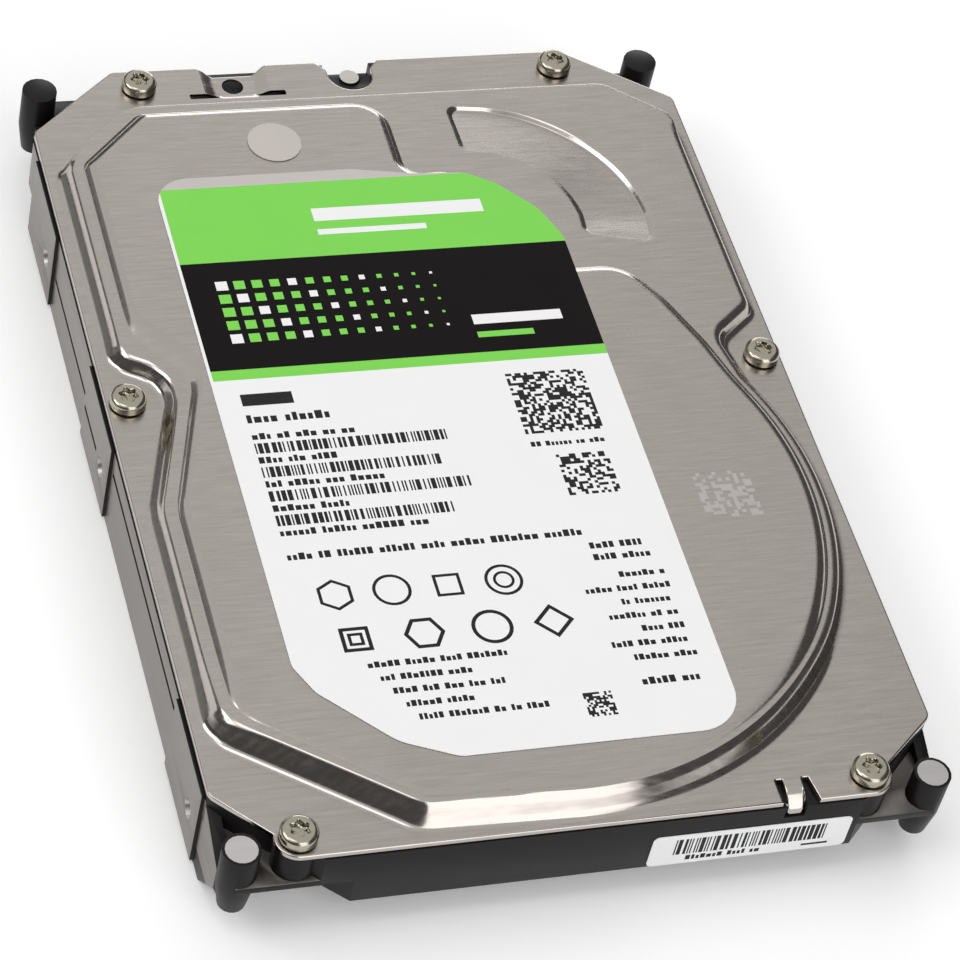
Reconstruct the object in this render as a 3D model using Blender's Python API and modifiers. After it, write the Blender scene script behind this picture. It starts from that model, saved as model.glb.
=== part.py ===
"""A low 3.5-inch hard disk drive, modelled piece by piece.

Metres, +Z up, origin in the middle of the underside. The connector end is at +Y and the
spindle end at -Y. +X is on the right for someone reading the label from the spindle end.
"""

import math

import bmesh
import bpy
from mathutils import Vector

MM = 0.001

# Gaps
FIT = 0.3 * MM  # between two pieces that touch
SKIN_GAP = 0.05 * MM  # behind a sticker
RUN_GAP = 0.4 * MM  # around a turning piece

# Case
CASE_WIDTH = 101.6 * MM
CASE_LENGTH = 147.0 * MM
FLOOR_UNDER = 5.6 * MM  # underside of the floor above the rail feet
FLOOR_THICKNESS = 1.4 * MM
SIDE_RECESS = 0.5 * MM  # of the side walls behind the mounting pads
RAIL_WIDTH = 6.6 * MM
RAIL_SETBACK = 12.9 * MM  # of the rails from the spindle end
REAR_RAIL_SETBACK = 15.0 * MM
NEAR_CUT_X = 13.0 * MM
NEAR_CUT_Y = 12.0 * MM
FAR_CUT_X = 15.0 * MM
FAR_CUT_Y = 12.0 * MM
LOW_CUT_EXTRA = 4.6 * MM  # the lower left front corner is cut back further
POST_RADIUS = 2.6 * MM
POST_INSET = 2.95 * MM  # of a corner post's axis from the side and from the end
POST_LENGTH = 11.2 * MM
POST_RISE = 0.4 * MM  # of the post tops above the rim
SHELF_DROP = 4.6 * MM  # of the corner shelves below the rim
SHELF_THICKNESS = 1.1 * MM
SHELF_END_GAP = 0.25 * MM  # of a shelf from the end of the case
GUSSET = 1.8 * MM  # thickness of the webs between the rails and the front posts
BOSS_RADIUS = 3.0 * MM  # around the front cover screws
EASE = 0.1 * MM  # by which joined shapes are kept from ending in one plane
BITE = 0.5 * MM  # by which joined shapes run into each other
CUT_PAST = 1.0 * MM  # by which a cutter runs past the material

# Mounting holes
REAR_SIDE_HOLE = 28.5 * MM  # from the connector end
MIDDLE_SIDE_HOLE = 70.1 * MM  # from the connector end
FRONT_SIDE_HOLE = 16.9 * MM  # from the spindle end
SIDE_HOLE_HEIGHT = 6.35 * MM
SIDE_HOLE_DEPTH = 2.4 * MM
REAR_BOTTOM_HOLE = 41.28 * MM  # from the connector end
MIDDLE_BOTTOM_HOLE = 85.73 * MM  # from the connector end
FRONT_BOTTOM_HOLE = 29.52 * MM  # from the spindle end
BOTTOM_HOLE_INSET = 3.175 * MM  # from the side
BOTTOM_HOLE_DEPTH = 4.0 * MM
MOUNT_HOLE_RADIUS = 1.6 * MM
PAD_BEFORE = 4.1 * MM  # pad length toward the spindle end of its hole
PAD_AFTER = 12.0 * MM

# Cover
GASKET = 0.2 * MM
GASKET_WIDTH = 1.0 * MM
COVER_SIDE_GAP = 0.35 * MM
COVER_END_GAP = 0.3 * MM
SHEET = 0.7 * MM
STEP_RISE = 2.4 * MM
STEP_SLOPE = 1.9 * MM
PANEL_RISE = 1.1 * MM
PANEL_SLOPE = 0.8 * MM
STEP_LEFT = 2.15 * MM  # of the step's foot from the cover's edge
STEP_RIGHT = 1.55 * MM
STEP_FAR = 8.8 * MM
PANEL_INSET = 3.1 * MM  # of the panel's foot from the step's foot
PANEL_FAR = 4.8 * MM  # the same at the far end
BOW_MARGIN = 2.8 * MM  # of the step's round part outside the disc pocket
BOW_LEFT = 2.2 * MM  # of that round part's centre beside the spindle
BOW_BACK = 0.9 * MM  # and behind it
CRESCENT_DEPTH = 0.9 * MM
CRESCENT_WIDTH = 10.8 * MM
SEAL_RADIUS = 4.05 * MM
SEAL_HOLE_RADIUS = 2.0 * MM
SEAL_LEFT = 16.2 * MM  # of the port seal from the middle
SEAL_FROM_FAR = 20.7 * MM  # and from the cover's far edge
PIN_RADIUS = 1.5 * MM
PIN_LENGTH = 3.4 * MM
PIN_NOTCH = 3.5 * MM  # radius of the notch round the locating pin
PIN_INSET = 2.9 * MM  # of the pin from the cover's edge
HOOK_FROM_SIDE = 24.15 * MM  # left side of the small tab bent down over the front wall
HOOK_WIDTH = 2.3 * MM
HOOK_DROP = 2.2 * MM
SLIT_DEPTH = 3.9 * MM  # of the slits beside that tab
SLIT_SIDE = 0.02 * MM  # between a slit's cutter and the tab
PIN_FROM_SCREW = 33.3 * MM  # of the pin from the far left cover screw
DIP_FROM_SCREW = 14.0 * MM  # of the notch in the far edge from that screw
DIP_DEPTH = 2.5 * MM
DIP_HOLE = 1.5 * MM
DIP_SLOT = 6.3 * MM
DIP_SINK = 0.9 * MM  # of the casting's rim under that part of the cover
DIP_LEFT = 6.6 * MM  # ends of that part on both sides of the notch
DIP_RIGHT = 8.4 * MM
SLOPE_WALL = 0.5 * MM
LABEL_THICKNESS = 0.12 * MM
LABEL_FROM_LEFT = 9.1 * MM  # of the label from the panel's foot on each side
LABEL_FROM_RIGHT = 23.1 * MM
LABEL_FROM_NEAR = 6.4 * MM
LABEL_FROM_FAR = 13.7 * MM
END_LABEL_INSET = 0.9 * MM  # from the right end of the front wall
END_LABEL_LENGTH = 28.4 * MM
END_LABEL_HEIGHT = 6.4 * MM
END_LABEL_CORNER = 0.8 * MM

# Cover screws
HEAD_RADIUS = 2.6 * MM
HEAD_HEIGHT = 1.55 * MM
SHANK_RADIUS = 1.3 * MM
SHANK_LENGTH = 5.0 * MM
RECESS_RADIUS = 1.45 * MM
RECESS_DEPTH = 0.9 * MM
FAR_SCREW_SIDE = 17.45 * MM  # from the cover's side
FAR_SCREW_INSET = 3.8 * MM  # from the cover's end
MID_SCREW_INSET = 3.05 * MM
MID_SCREW_BEFORE = 28.03 * MM  # of the middle screws in front of the pivot
NEAR_LEFT_SCREW_SIDE = 10.05 * MM
NEAR_RIGHT_SCREW_SIDE = 11.85 * MM
NEAR_SCREW_INSET = 3.2 * MM
TAB_RADIUS = 3.2 * MM
HEAD_BEVEL = 0.6 * MM  # of every screw head
HEAD_SIDE = 0.6  # share of a head's height below its bevel

# Spindle stack
FRONT_WALL = 3.2 * MM  # between the disc pocket and the spindle end
DISC_WALL = 2.0 * MM  # thinnest wall beside the disc pocket
DISC_CLEARANCE = 0.8 * MM
BAY_WALL = 3.4 * MM  # beside the actuator bay
BAY_CORNER = 9.0 * MM  # cut off the corners of the bay
SCREW_WALL = 1.5 * MM  # between the bosses of the middle screws and the pocket
PLATTER_BORE = 12.5 * MM
PLATTER_THICKNESS = 1.27 * MM
PLATTER_GAP = 2.33 * MM  # between the two platters
PLATTER_LIFT = 3.4 * MM  # of the lower platter above the floor
RIM_OVER_DISC = 0.23 * MM  # of the casting's rim above the upper platter
STACK_GAP = 0.2 * MM
HUB_LIP = 3.1 * MM  # of the hub's flange and the spacer outside the platter bore
HUB_FLANGE = 1.2 * MM
HUB_WALL = 1.0 * MM
CLAMP_LIP = 3.5 * MM  # of the clamp outside the platter bore
CLAMP_THICKNESS = 1.1 * MM
CLAMP_HOLE = 4.4 * MM
CLAMP_SCREW_CIRCLE = 8.2 * MM
CLAMP_SCREW_RADIUS = 1.7 * MM
CLAMP_SCREW_HEAD = 0.9 * MM
MAGNET_RING = 0.8 * MM
SHAFT_RADIUS = 2.0 * MM
SLEEVE_WALL = 3.0 * MM
MOTOR_FLANGE_RADIUS = 15.0 * MM
MOTOR_FLANGE = 1.6 * MM
STATOR_HEIGHT = 2.6 * MM

# Actuator, in a frame that turns about the pivot
PIVOT_FROM_SIDE = 38.3 * MM  # of the pivot from the right wall's outer face
PIVOT_BEHIND = 8.53 * MM  # of the pivot behind the disc's far edge
ARM_PASS = 6.3 * MM  # by which the path of the heads passes the spindle axis
PARK_GAP = 3.9 * MM  # of a parked head outside the platter
INNER_GAP = 7.5 * MM  # of the innermost head outside the platter bore
ARM_LENGTH = 33.0 * MM
ARM_THICKNESS = 1.0 * MM
BLOCK_RADIUS = 8.2 * MM
BEARING_RADIUS = 6.0 * MM
BEARING_WALL = 3.2 * MM
SUSPENSION_THICKNESS = 0.25 * MM
SLIDER_HEIGHT = 0.2 * MM
COIL_HALF_ANGLE = 21.0  # degrees
COIL_INNER = 12.6 * MM
COIL_THICKNESS = 1.8 * MM
COIL_BAND = 3.4 * MM
COIL_FRAME = 1.3 * MM
COIL_MARGIN = 2.0 * MM  # of the coil inside the outer edge of the magnet plates
ARM_ROOT = 6.56 * MM  # half width of an arm at the pivot
ARM_SHOULDER = 5.25 * MM  # half width where the arm begins to taper
ARM_SHOULDER_AT = 14.85 * MM  # distance of that place from the pivot
ARM_TIP = 2.6 * MM  # half width at the end
WINDOW_FIRST = 13.9 * MM  # the hole that lightens an arm, from the pivot
WINDOW_LAST = 24.4 * MM
LEAF_OVERLAP = 4.0 * MM  # of a suspension over its arm
LEAF_TAPER = 3.0 * MM  # from the arm's end to where the suspension narrows
LEAF_TIP = 2.8 * MM  # of the lift tab past the head

# Voice-coil motor
REAR_WALL = 11.5 * MM
VCM_MARGIN = 1.8 * MM  # of the magnet plates from the rear wall
VCM_OUTER = 26.17 * MM  # outer radius of the magnet plates about the pivot
VCM_WIDTH = 14.8 * MM
PLATE_THICKNESS = 1.3 * MM
MAGNET_THICKNESS = 1.2 * MM
POST_BEFORE = 36.6  # degrees of the outer post before the parked coil
POST_AFTER = 33.4  # degrees of the inner post past the coil at its other end
PLATE_PAST = 5.0  # degrees of the magnet plates past their posts
CRESCENT_SHORT = 4.0  # degrees of the cover's crescent short of the posts
MAGNET_POST_RADIUS = 1.7 * MM
STOP_WALL = 0.7 * MM
POST_FROM_OUTER = 5.33 * MM  # of the posts inside the outer edge of the plates

# Ramp, latch, filters and cable
RAMP_FIN = 1.4 * MM
RAMP_DEPTH = 2.6 * MM
RAMP_SPINE = 2.4 * MM
RAMP_BEFORE = 5.0  # degrees of the ramp before the parked arm
RAMP_AFTER = 2.5  # degrees past it
RAMP_SCREW_ANGLE = 8.2  # degrees short of the parked arm
LATCH_GAP = 3.23 * MM  # of its pin outside the coil's frame
LATCH_BEFORE = 9.0  # degrees of the latch before the outer post
LATCH_LENGTH = 7.0 * MM
LATCH_TAIL = 5.0 * MM
LATCH_PIN_RADIUS = 0.9 * MM
LATCH_THICKNESS = 2.0 * MM
FILTER_LENGTH = 15.0 * MM
FILTER_WIDTH = 9.0 * MM
FILTER_HEIGHT = 5.5 * MM
FILTER_GAP = 2.0 * MM  # of the breather filter from the cable bracket
SIDE_FILTER_LENGTH = 10.0 * MM
SIDE_FILTER_WIDTH = 2.4 * MM
SIDE_FILTER_HEIGHT = 6.5 * MM
FILTER_WALL_GAP = 1.0 * MM
BRACKET_LEFT = 15.0 * MM  # of the cable bracket's right end from the pivot
BRACKET_BACK = 11.5 * MM  # of its near side behind the pivot
BRACKET_LENGTH = 9.4 * MM
BRACKET_WIDTH = 2.8 * MM
BRACKET_FLANGE = 1.2 * MM
CABLE_HEIGHT = 4.5 * MM
CABLE_THICKNESS = 0.3 * MM

# Circuit board and connector
BOARD_LOW = 1.6 * MM
BOARD_THICKNESS = 1.0 * MM
BOARD_SIDE_GAP = 0.6 * MM
BOARD_LENGTH = 43.0 * MM
BOARD_TONGUE = 17.0 * MM
TONGUE_HALF_WIDTH = 15.5 * MM
TONGUE_TAPER = 5.0 * MM
BOARD_REAR_GAP = 2.6 * MM
CHIP_HEIGHT = 1.2 * MM
INSULATOR = 0.5 * MM
BOARD_SCREW_INSET = 4.2 * MM
BOARD_SCREW_HEAD = 0.8 * MM
BOARD_SCREW_RADIUS = 2.3 * MM
BOARD_SHANK = 0.9 * MM
CONNECTOR_PAST = 0.1 * MM  # of the connector past the board's side
CONNECTOR_WIDTH = 41.6 * MM
CONNECTOR_DEPTH = 8.6 * MM
CONNECTOR_HEIGHT = 4.4 * MM
CONNECTOR_WALL = 0.7 * MM
TONGUE_THICKNESS = 1.2 * MM
DATA_SHARE = 11.4 * MM  # width of the data bay
HEADER_WIDTH = 8.6 * MM
HEADER_GAP = 4.0 * MM
HEADER_PIN = 0.64 * MM

ROUND_STEPS = 24
DISC_STEPS = 48
FILLET_STEPS = 3

# Derived places
HALF_WIDTH = CASE_WIDTH / 2
HALF_LENGTH = CASE_LENGTH / 2
BODY_X = HALF_WIDTH - SIDE_RECESS
SIDE_HOLES = (
    HALF_LENGTH - REAR_SIDE_HOLE,
    HALF_LENGTH - MIDDLE_SIDE_HOLE,
    FRONT_SIDE_HOLE - HALF_LENGTH,
)
BOTTOM_HOLES = (
    HALF_LENGTH - REAR_BOTTOM_HOLE,
    HALF_LENGTH - MIDDLE_BOTTOM_HOLE,
    FRONT_BOTTOM_HOLE - HALF_LENGTH,
)
FRONT_Y = -HALF_LENGTH + SKIN_GAP + LABEL_THICKNESS
FLOOR_TOP = FLOOR_UNDER + FLOOR_THICKNESS
LOWER_PLATTER = FLOOR_TOP + PLATTER_LIFT
UPPER_PLATTER = LOWER_PLATTER + PLATTER_THICKNESS + PLATTER_GAP
RIM = UPPER_PLATTER + PLATTER_THICKNESS + RIM_OVER_DISC
COVER_X = HALF_WIDTH - COVER_SIDE_GAP
COVER_Y = HALF_LENGTH - COVER_END_GAP
FLANGE_LOW = RIM + GASKET + 2 * SKIN_GAP
FLANGE_TOP = FLANGE_LOW + SHEET
STEP_TOP = FLANGE_TOP + STEP_RISE
PANEL_TOP = STEP_TOP + PANEL_RISE
DISC_ROOM_X = BODY_X - DISC_WALL - DISC_CLEARANCE
ACTUATOR_LENGTH = PIVOT_BEHIND + VCM_OUTER + VCM_MARGIN
DISC_ROOM_Y = (CASE_LENGTH - FRONT_WALL - DISC_CLEARANCE - ACTUATOR_LENGTH - REAR_WALL) / 2
PLATTER_RADIUS = min(DISC_ROOM_X, DISC_ROOM_Y)  # the largest disc that the case takes
POCKET_RADIUS = PLATTER_RADIUS + DISC_CLEARANCE
SPINDLE = Vector((0, FRONT_WALL + POCKET_RADIUS - HALF_LENGTH))
PIVOT = Vector((BODY_X - PIVOT_FROM_SIDE, SPINDLE.y + PLATTER_RADIUS + PIVOT_BEHIND))
PIVOT_DISTANCE = (PIVOT - SPINDLE).length
ARM_REACH = PIVOT_DISTANCE - ARM_PASS
BAY_Y = HALF_LENGTH - REAR_WALL
VCM_INNER = VCM_OUTER - VCM_WIDTH
MIDDLE_ARM = LOWER_PLATTER + PLATTER_THICKNESS + PLATTER_GAP / 2
ARM_PITCH = PLATTER_THICKNESS + PLATTER_GAP
SCREW_PLACES = {
    "far_left": Vector((-COVER_X + FAR_SCREW_SIDE, COVER_Y - FAR_SCREW_INSET)),
    "far_right": Vector((COVER_X - FAR_SCREW_SIDE, COVER_Y - FAR_SCREW_INSET)),
    "mid_left": Vector((-COVER_X + MID_SCREW_INSET, PIVOT.y - MID_SCREW_BEFORE)),
    "mid_right": Vector((COVER_X - MID_SCREW_INSET, PIVOT.y - MID_SCREW_BEFORE)),
    "near_left": Vector((-COVER_X + NEAR_LEFT_SCREW_SIDE, -COVER_Y + NEAR_SCREW_INSET)),
    "near_right": Vector((COVER_X - NEAR_RIGHT_SCREW_SIDE, -COVER_Y + NEAR_SCREW_INSET)),
}


def head_angle(from_spindle):
    """Angle of the arm about the pivot, in radians, with a head this far from the spindle."""
    cosine = PIVOT_DISTANCE**2 + ARM_REACH**2 - from_spindle**2
    turn = math.acos(cosine / (2 * PIVOT_DISTANCE * ARM_REACH))
    toward = SPINDLE - PIVOT
    return math.atan2(toward.y, toward.x) % math.tau - turn


PARK_ANGLE = head_angle(PLATTER_RADIUS + PARK_GAP)
INNER_ANGLE = head_angle(PLATTER_BORE + INNER_GAP)
COIL_ANGLE = math.degrees(PARK_ANGLE) - 180
POST_ANGLE_LOW = COIL_ANGLE - POST_BEFORE
POST_ANGLE_HIGH = COIL_ANGLE + math.degrees(INNER_ANGLE - PARK_ANGLE) + POST_AFTER
LATCH_ANGLE = POST_ANGLE_LOW - LATCH_BEFORE
COIL_OUTER = VCM_OUTER - COIL_MARGIN
COIL_LOW = MIDDLE_ARM - COIL_THICKNESS / 2
BLOCK_LOW = MIDDLE_ARM - ARM_PITCH - ARM_THICKNESS / 2 - FIT
BLOCK_TOP = MIDDLE_ARM + ARM_PITCH + ARM_THICKNESS / 2 + FIT
RAMP_RADIUS = ARM_REACH + 0.9 * MM
RAMP_FOOT = LOWER_PLATTER - 1.2 * MM
RAMP_FOOT_RADIUS = 2.4 * MM
BOARD_TOP = BOARD_LOW + BOARD_THICKNESS
BOARD_X = BODY_X - RAIL_WIDTH - BOARD_SIDE_GAP
BOARD_FAR = HALF_LENGTH - BOARD_REAR_GAP
BOARD_NEAR = BOARD_FAR - BOARD_LENGTH
CONNECTOR_LOW = BOARD_TOP + FIT
CONNECTOR_NEAR = HALF_LENGTH - 0.1 * MM - CONNECTOR_DEPTH
CONNECTOR_OUTER = BOARD_X + CONNECTOR_PAST
CONNECTOR_INNER = CONNECTOR_OUTER - CONNECTOR_WIDTH
MOTOR_BORE = MOTOR_FLANGE_RADIUS - 2.0 * MM
HUB_FLANGE_RADIUS = PLATTER_BORE + HUB_LIP
CLAMP_RADIUS = PLATTER_BORE + CLAMP_LIP
PIN_PLACE = Vector((SCREW_PLACES["far_left"].x + PIN_FROM_SCREW, COVER_Y - PIN_INSET))
SEAL_PLACE = Vector((-SEAL_LEFT, COVER_Y - SEAL_FROM_FAR))
HOOK_X = COVER_X - HOOK_FROM_SIDE
DIP_X = -(SCREW_PLACES["far_left"].x + DIP_FROM_SCREW)
BOW = Vector((SPINDLE.x - BOW_LEFT, SPINDLE.y + BOW_BACK))
BOW_RADIUS = POCKET_RADIUS + BOW_MARGIN
PANEL_LEFT_X = -COVER_X + STEP_LEFT + PANEL_INSET
PANEL_FAR_Y = COVER_Y - STEP_FAR - PANEL_FAR
PANEL_RADIUS = BOW_RADIUS - PANEL_INSET
LABEL_LEFT = -PANEL_LEFT_X - LABEL_FROM_LEFT
LABEL_RIGHT = BOW.x + PANEL_RADIUS - LABEL_FROM_RIGHT
LABEL_NEAR = PANEL_RADIUS - BOW.y - LABEL_FROM_NEAR
LABEL_FAR = PANEL_FAR_Y - LABEL_FROM_FAR

parts = None
cutters = None


def polar(radius, angle, centre=(0, 0)):
    """Point at an angle in radians round a centre."""
    return Vector((centre[0] + radius * math.cos(angle), centre[1] + radius * math.sin(angle)))


def arc(centre, radius, first, last, steps):
    """Points along an arc, angles in degrees."""
    turn = math.radians(last - first) / steps
    return [polar(radius, math.radians(first) + turn * step, centre) for step in range(steps + 1)]


def circle(centre, radius, steps=ROUND_STEPS):
    """Points round a full circle."""
    return arc(centre, radius, 0, 360, steps)[:-1]


def rectangle(left, near, right, far):
    """Corners of an upright rectangle, anticlockwise."""
    return [Vector((left, near)), Vector((right, near)), Vector((right, far)), Vector((left, far))]


def sector(inner, outer, first, last, steps=10, centre=(0, 0)):
    """Outline of a ring sector, angles in degrees."""
    return arc(centre, outer, first, last, steps) + arc(centre, inner, last, first, steps)


def rounded(corners):
    """Outline with each corner (x, y, radius) turned into an arc."""
    points = []
    for index, (x, y, radius) in enumerate(corners):
        here = Vector((x, y))
        before = Vector(corners[index - 1][:2]) - here
        after = Vector(corners[(index + 1) % len(corners)][:2]) - here
        half = before.angle(after) / 2
        if radius <= 0 or half > math.radians(88):
            points.append(here)
            continue
        reach = min(radius / math.tan(half), 0.48 * before.length, 0.48 * after.length)
        used = reach * math.tan(half)
        middle = (before.normalized() + after.normalized()).normalized()
        centre = here + middle * (used / math.sin(half))
        start = here + before.normalized() * reach - centre
        end = here + after.normalized() * reach - centre
        first = math.atan2(start.y, start.x)
        turn = (math.atan2(end.y, end.x) - first + math.pi) % math.tau - math.pi
        for step in range(FILLET_STEPS + 1):
            points.append(polar(used, first + turn * step / FILLET_STEPS, centre))
    return points


def grown(points, distance):
    """Outline moved outward by a distance, or inward by a negative one."""
    moved = []
    for index, point in enumerate(points):
        before = (point - points[index - 1]).normalized()
        after = (points[(index + 1) % len(points)] - point).normalized()
        side = Vector((before.y, -before.x))
        mitre = (side + Vector((after.y, -after.x))).normalized()
        moved.append(point + mitre * (distance / max(mitre.dot(side), 0.4)))
    return moved


def place(name, mesh, parent=None, cutter=False):
    """Object for a mesh, in the collection of parts or of cutters."""
    thing = bpy.data.objects.new(name, mesh)
    (cutters if cutter else parts).objects.link(thing)
    thing.parent = parent
    if cutter:
        thing.hide_render = True
        thing.display_type = "WIRE"
    return thing


def prism(name, outlines, low, high, parent=None, cutter=False):
    """Flat outline, with any further outlines as holes, raised from low to high."""
    curve = bpy.data.curves.new(name, "CURVE")
    curve.dimensions = "2D"
    curve.fill_mode = "BOTH"
    curve.extrude = (high - low) / 2
    for outline in outlines:
        spline = curve.splines.new("POLY")
        spline.points.add(len(outline) - 1)
        for point, corner in zip(spline.points, outline):
            point.co = (corner[0], corner[1], 0, 1)
        spline.use_cyclic_u = True
    guide = bpy.data.objects.new(name, curve)
    bpy.context.scene.collection.objects.link(guide)
    graph = bpy.context.evaluated_depsgraph_get()
    mesh = bpy.data.meshes.new_from_object(guide.evaluated_get(graph))
    bpy.data.objects.remove(guide)
    bpy.data.curves.remove(curve)
    shape = bmesh.new()
    shape.from_mesh(mesh)
    bmesh.ops.remove_doubles(shape, verts=shape.verts, dist=1e-7)
    bmesh.ops.translate(shape, verts=shape.verts, vec=(0, 0, (low + high) / 2))
    bmesh.ops.recalc_face_normals(shape, faces=shape.faces)
    shape.to_mesh(mesh)
    shape.free()
    mesh.name = name
    return place(name, mesh, parent, cutter)


def box(name, left, near, low, right, far, high, parent=None, cutter=False):
    """Box between two corners."""
    shape = bmesh.new()
    bmesh.ops.create_cube(shape, size=1)
    bmesh.ops.scale(shape, verts=shape.verts, vec=(right - left, far - near, high - low))
    middle = ((left + right) / 2, (near + far) / 2, (low + high) / 2)
    bmesh.ops.translate(shape, verts=shape.verts, vec=middle)
    mesh = bpy.data.meshes.new(name)
    shape.to_mesh(mesh)
    shape.free()
    return place(name, mesh, parent, cutter)


def cylinder(name, centre, radius, low, high, steps=ROUND_STEPS, parent=None, cutter=False):
    """Upright cylinder."""
    shape = bmesh.new()
    bmesh.ops.create_cone(
        shape, cap_ends=True, segments=steps, radius1=radius, radius2=radius, depth=high - low
    )
    bmesh.ops.translate(shape, verts=shape.verts, vec=(centre[0], centre[1], (low + high) / 2))
    mesh = bpy.data.meshes.new(name)
    shape.to_mesh(mesh)
    shape.free()
    thing = place(name, mesh, parent, cutter)
    smooth(thing)
    return thing


def turned(name, profile, closed, steps=ROUND_STEPS, centre=(0, 0), parent=None):
    """Profile of (radius, height), down its outer side first, turned about an upright axis."""
    mesh = bpy.data.meshes.new(name)
    edges = [(index, index + 1) for index in range(len(profile) - 1)]
    if closed:
        edges.append((len(profile) - 1, 0))
    mesh.from_pydata([(radius, 0, height) for radius, height in profile], edges, [])
    thing = place(name, mesh, parent)
    thing.location = (centre[0], centre[1], 0)
    spin = thing.modifiers.new("turn", "SCREW")
    spin.steps = steps
    spin.render_steps = steps
    spin.use_merge_vertices = True
    spin.merge_threshold = 0.00001
    spin.use_smooth_shade = True
    return thing


def tube_profile(outer, inner, low, high):
    """Profile of a plain tube, for turning."""
    return [(outer, high), (outer, low), (inner, low), (inner, high)]


def sloped_block(name, outline, low, foot, rise, slope, parent=None, cutter=True):
    """Prism from low to foot whose top is then drawn in by slope while it rises."""
    thing = prism(name, [outline], low, foot, parent, cutter)
    shape = bmesh.new()
    shape.from_mesh(thing.data)
    top = [face for face in shape.faces if face.normal.z > 0.9]
    bmesh.ops.inset_region(
        shape, faces=top, thickness=slope, depth=rise, use_boundary=True, use_even_offset=True
    )
    shape.to_mesh(thing.data)
    shape.free()
    return thing


def combine(target, other, operation):
    """Boolean of one object with another, which is kept as a hidden cutter."""
    if other.name in parts.objects:
        parts.objects.unlink(other)
        cutters.objects.link(other)
    other.hide_render = True
    other.display_type = "WIRE"
    step = target.modifiers.new(other.name, "BOOLEAN")
    step.operation = operation
    step.solver = "EXACT"
    step.object = other


def cut(target, *others):
    for other in others:
        combine(target, other, "DIFFERENCE")


def join(target, *others):
    for other in others:
        combine(target, other, "UNION")


def flattened(thing):
    """Merges faces that lie in one plane, after the Booleans."""
    step = thing.modifiers.new("flat faces", "DECIMATE")
    step.decimate_type = "DISSOLVE"
    step.angle_limit = math.radians(0.2)
    return thing


def baked(thing):
    """Replaces an object's mesh by its evaluated one, so that copies can share it."""
    graph = bpy.context.evaluated_depsgraph_get()
    mesh = bpy.data.meshes.new_from_object(thing.evaluated_get(graph))
    thing.modifiers.clear()
    thing.data = mesh
    return thing


def smooth(thing):
    for face in thing.data.polygons:
        face.use_smooth = abs(face.normal.z) < 0.9


def finish(thing, colour, roughness, metallic):
    """Gives a piece its own material."""
    material = bpy.data.materials.new(thing.name)
    material.use_nodes = True
    shader = material.node_tree.nodes["Principled BSDF"]
    shader.inputs["Base Color"].default_value = (*colour, 1)
    shader.inputs["Roughness"].default_value = roughness
    shader.inputs["Metallic"].default_value = metallic
    material.diffuse_color = (*colour, 1)
    thing.data.materials.clear()
    thing.data.materials.append(material)
    return thing


def axis_empty(name, centre):
    empty = bpy.data.objects.new(name, None)
    empty.empty_display_size = 5 * MM
    empty.location = (centre[0], centre[1], 0)
    parts.objects.link(empty)
    return empty


BLACK_COAT = ((0.012, 0.012, 0.013), 0.5, 0.0)
STEEL = ((0.55, 0.53, 0.51), 0.32, 1.0)
BRIGHT = ((0.72, 0.72, 0.72), 0.18, 1.0)
PLATED = ((0.5, 0.5, 0.5), 0.3, 1.0)
ALUMINIUM = ((0.62, 0.62, 0.63), 0.38, 1.0)
MIRROR = ((0.8, 0.8, 0.82), 0.05, 1.0)
BLACK_PLASTIC = ((0.015, 0.015, 0.016), 0.45, 0.0)
PALE_PLASTIC = ((0.75, 0.73, 0.66), 0.45, 0.0)
RUBBER = ((0.03, 0.03, 0.03), 0.8, 0.0)
PAPER = ((0.88, 0.88, 0.88), 0.5, 0.0)
COPPER = ((0.72, 0.33, 0.15), 0.35, 1.0)
BOARD = ((0.01, 0.07, 0.04), 0.4, 0.0)
FILM = ((0.55, 0.28, 0.06), 0.4, 0.0)
CLOTH = ((0.8, 0.8, 0.78), 0.9, 0.0)
FERRITE = ((0.2, 0.2, 0.21), 0.5, 0.6)
SHEET_BLACK = ((0.02, 0.02, 0.02), 0.7, 0.0)
SEAL_FILM = ((0.62, 0.61, 0.6), 0.45, 0.2)


def body_outline(near_extra):
    """Plan of the casting inside its corner posts. The near left corner may be cut further."""
    return [
        Vector((-BODY_X + NEAR_CUT_X + near_extra, FRONT_Y)),
        Vector((BODY_X - NEAR_CUT_X, FRONT_Y)),
        Vector((BODY_X, FRONT_Y + NEAR_CUT_Y)),
        Vector((BODY_X, HALF_LENGTH - FAR_CUT_Y)),
        Vector((BODY_X - FAR_CUT_X, HALF_LENGTH)),
        Vector((-BODY_X + FAR_CUT_X, HALF_LENGTH)),
        Vector((-BODY_X, HALF_LENGTH - FAR_CUT_Y)),
        Vector((-BODY_X, FRONT_Y + NEAR_CUT_Y + near_extra * NEAR_CUT_Y / NEAR_CUT_X)),
    ]


def cavity_outline():
    """Plan of the sealed space: the disc pocket and the actuator bay behind it."""
    screw_side = SCREW_PLACES["mid_right"].x - BOSS_RADIUS - SCREW_WALL
    side = min(POCKET_RADIUS, screw_side)
    meet = math.degrees(math.acos(side / POCKET_RADIUS))
    bay = BODY_X - BAY_WALL
    shoulder = SCREW_PLACES["mid_right"].y + BOSS_RADIUS
    corners = [(side, shoulder, 4 * MM), (bay, shoulder + BAY_CORNER, 3 * MM)]
    corners += [(bay, BAY_Y - BAY_CORNER, 3 * MM), (bay - BAY_CORNER, BAY_Y, 3 * MM)]
    mirrored = [(-x, y, radius) for x, y, radius in reversed(corners)]
    pocket = arc(SPINDLE, POCKET_RADIUS, 180 - meet, 360 + meet, DISC_STEPS // 2)
    return rounded([(point.x, point.y, 0) for point in pocket] + corners + mirrored)


def sweep(first, last, centre, radius, steps):
    return [(point.x, point.y, 0) for point in arc(centre, radius, first, last, steps)]


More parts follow.
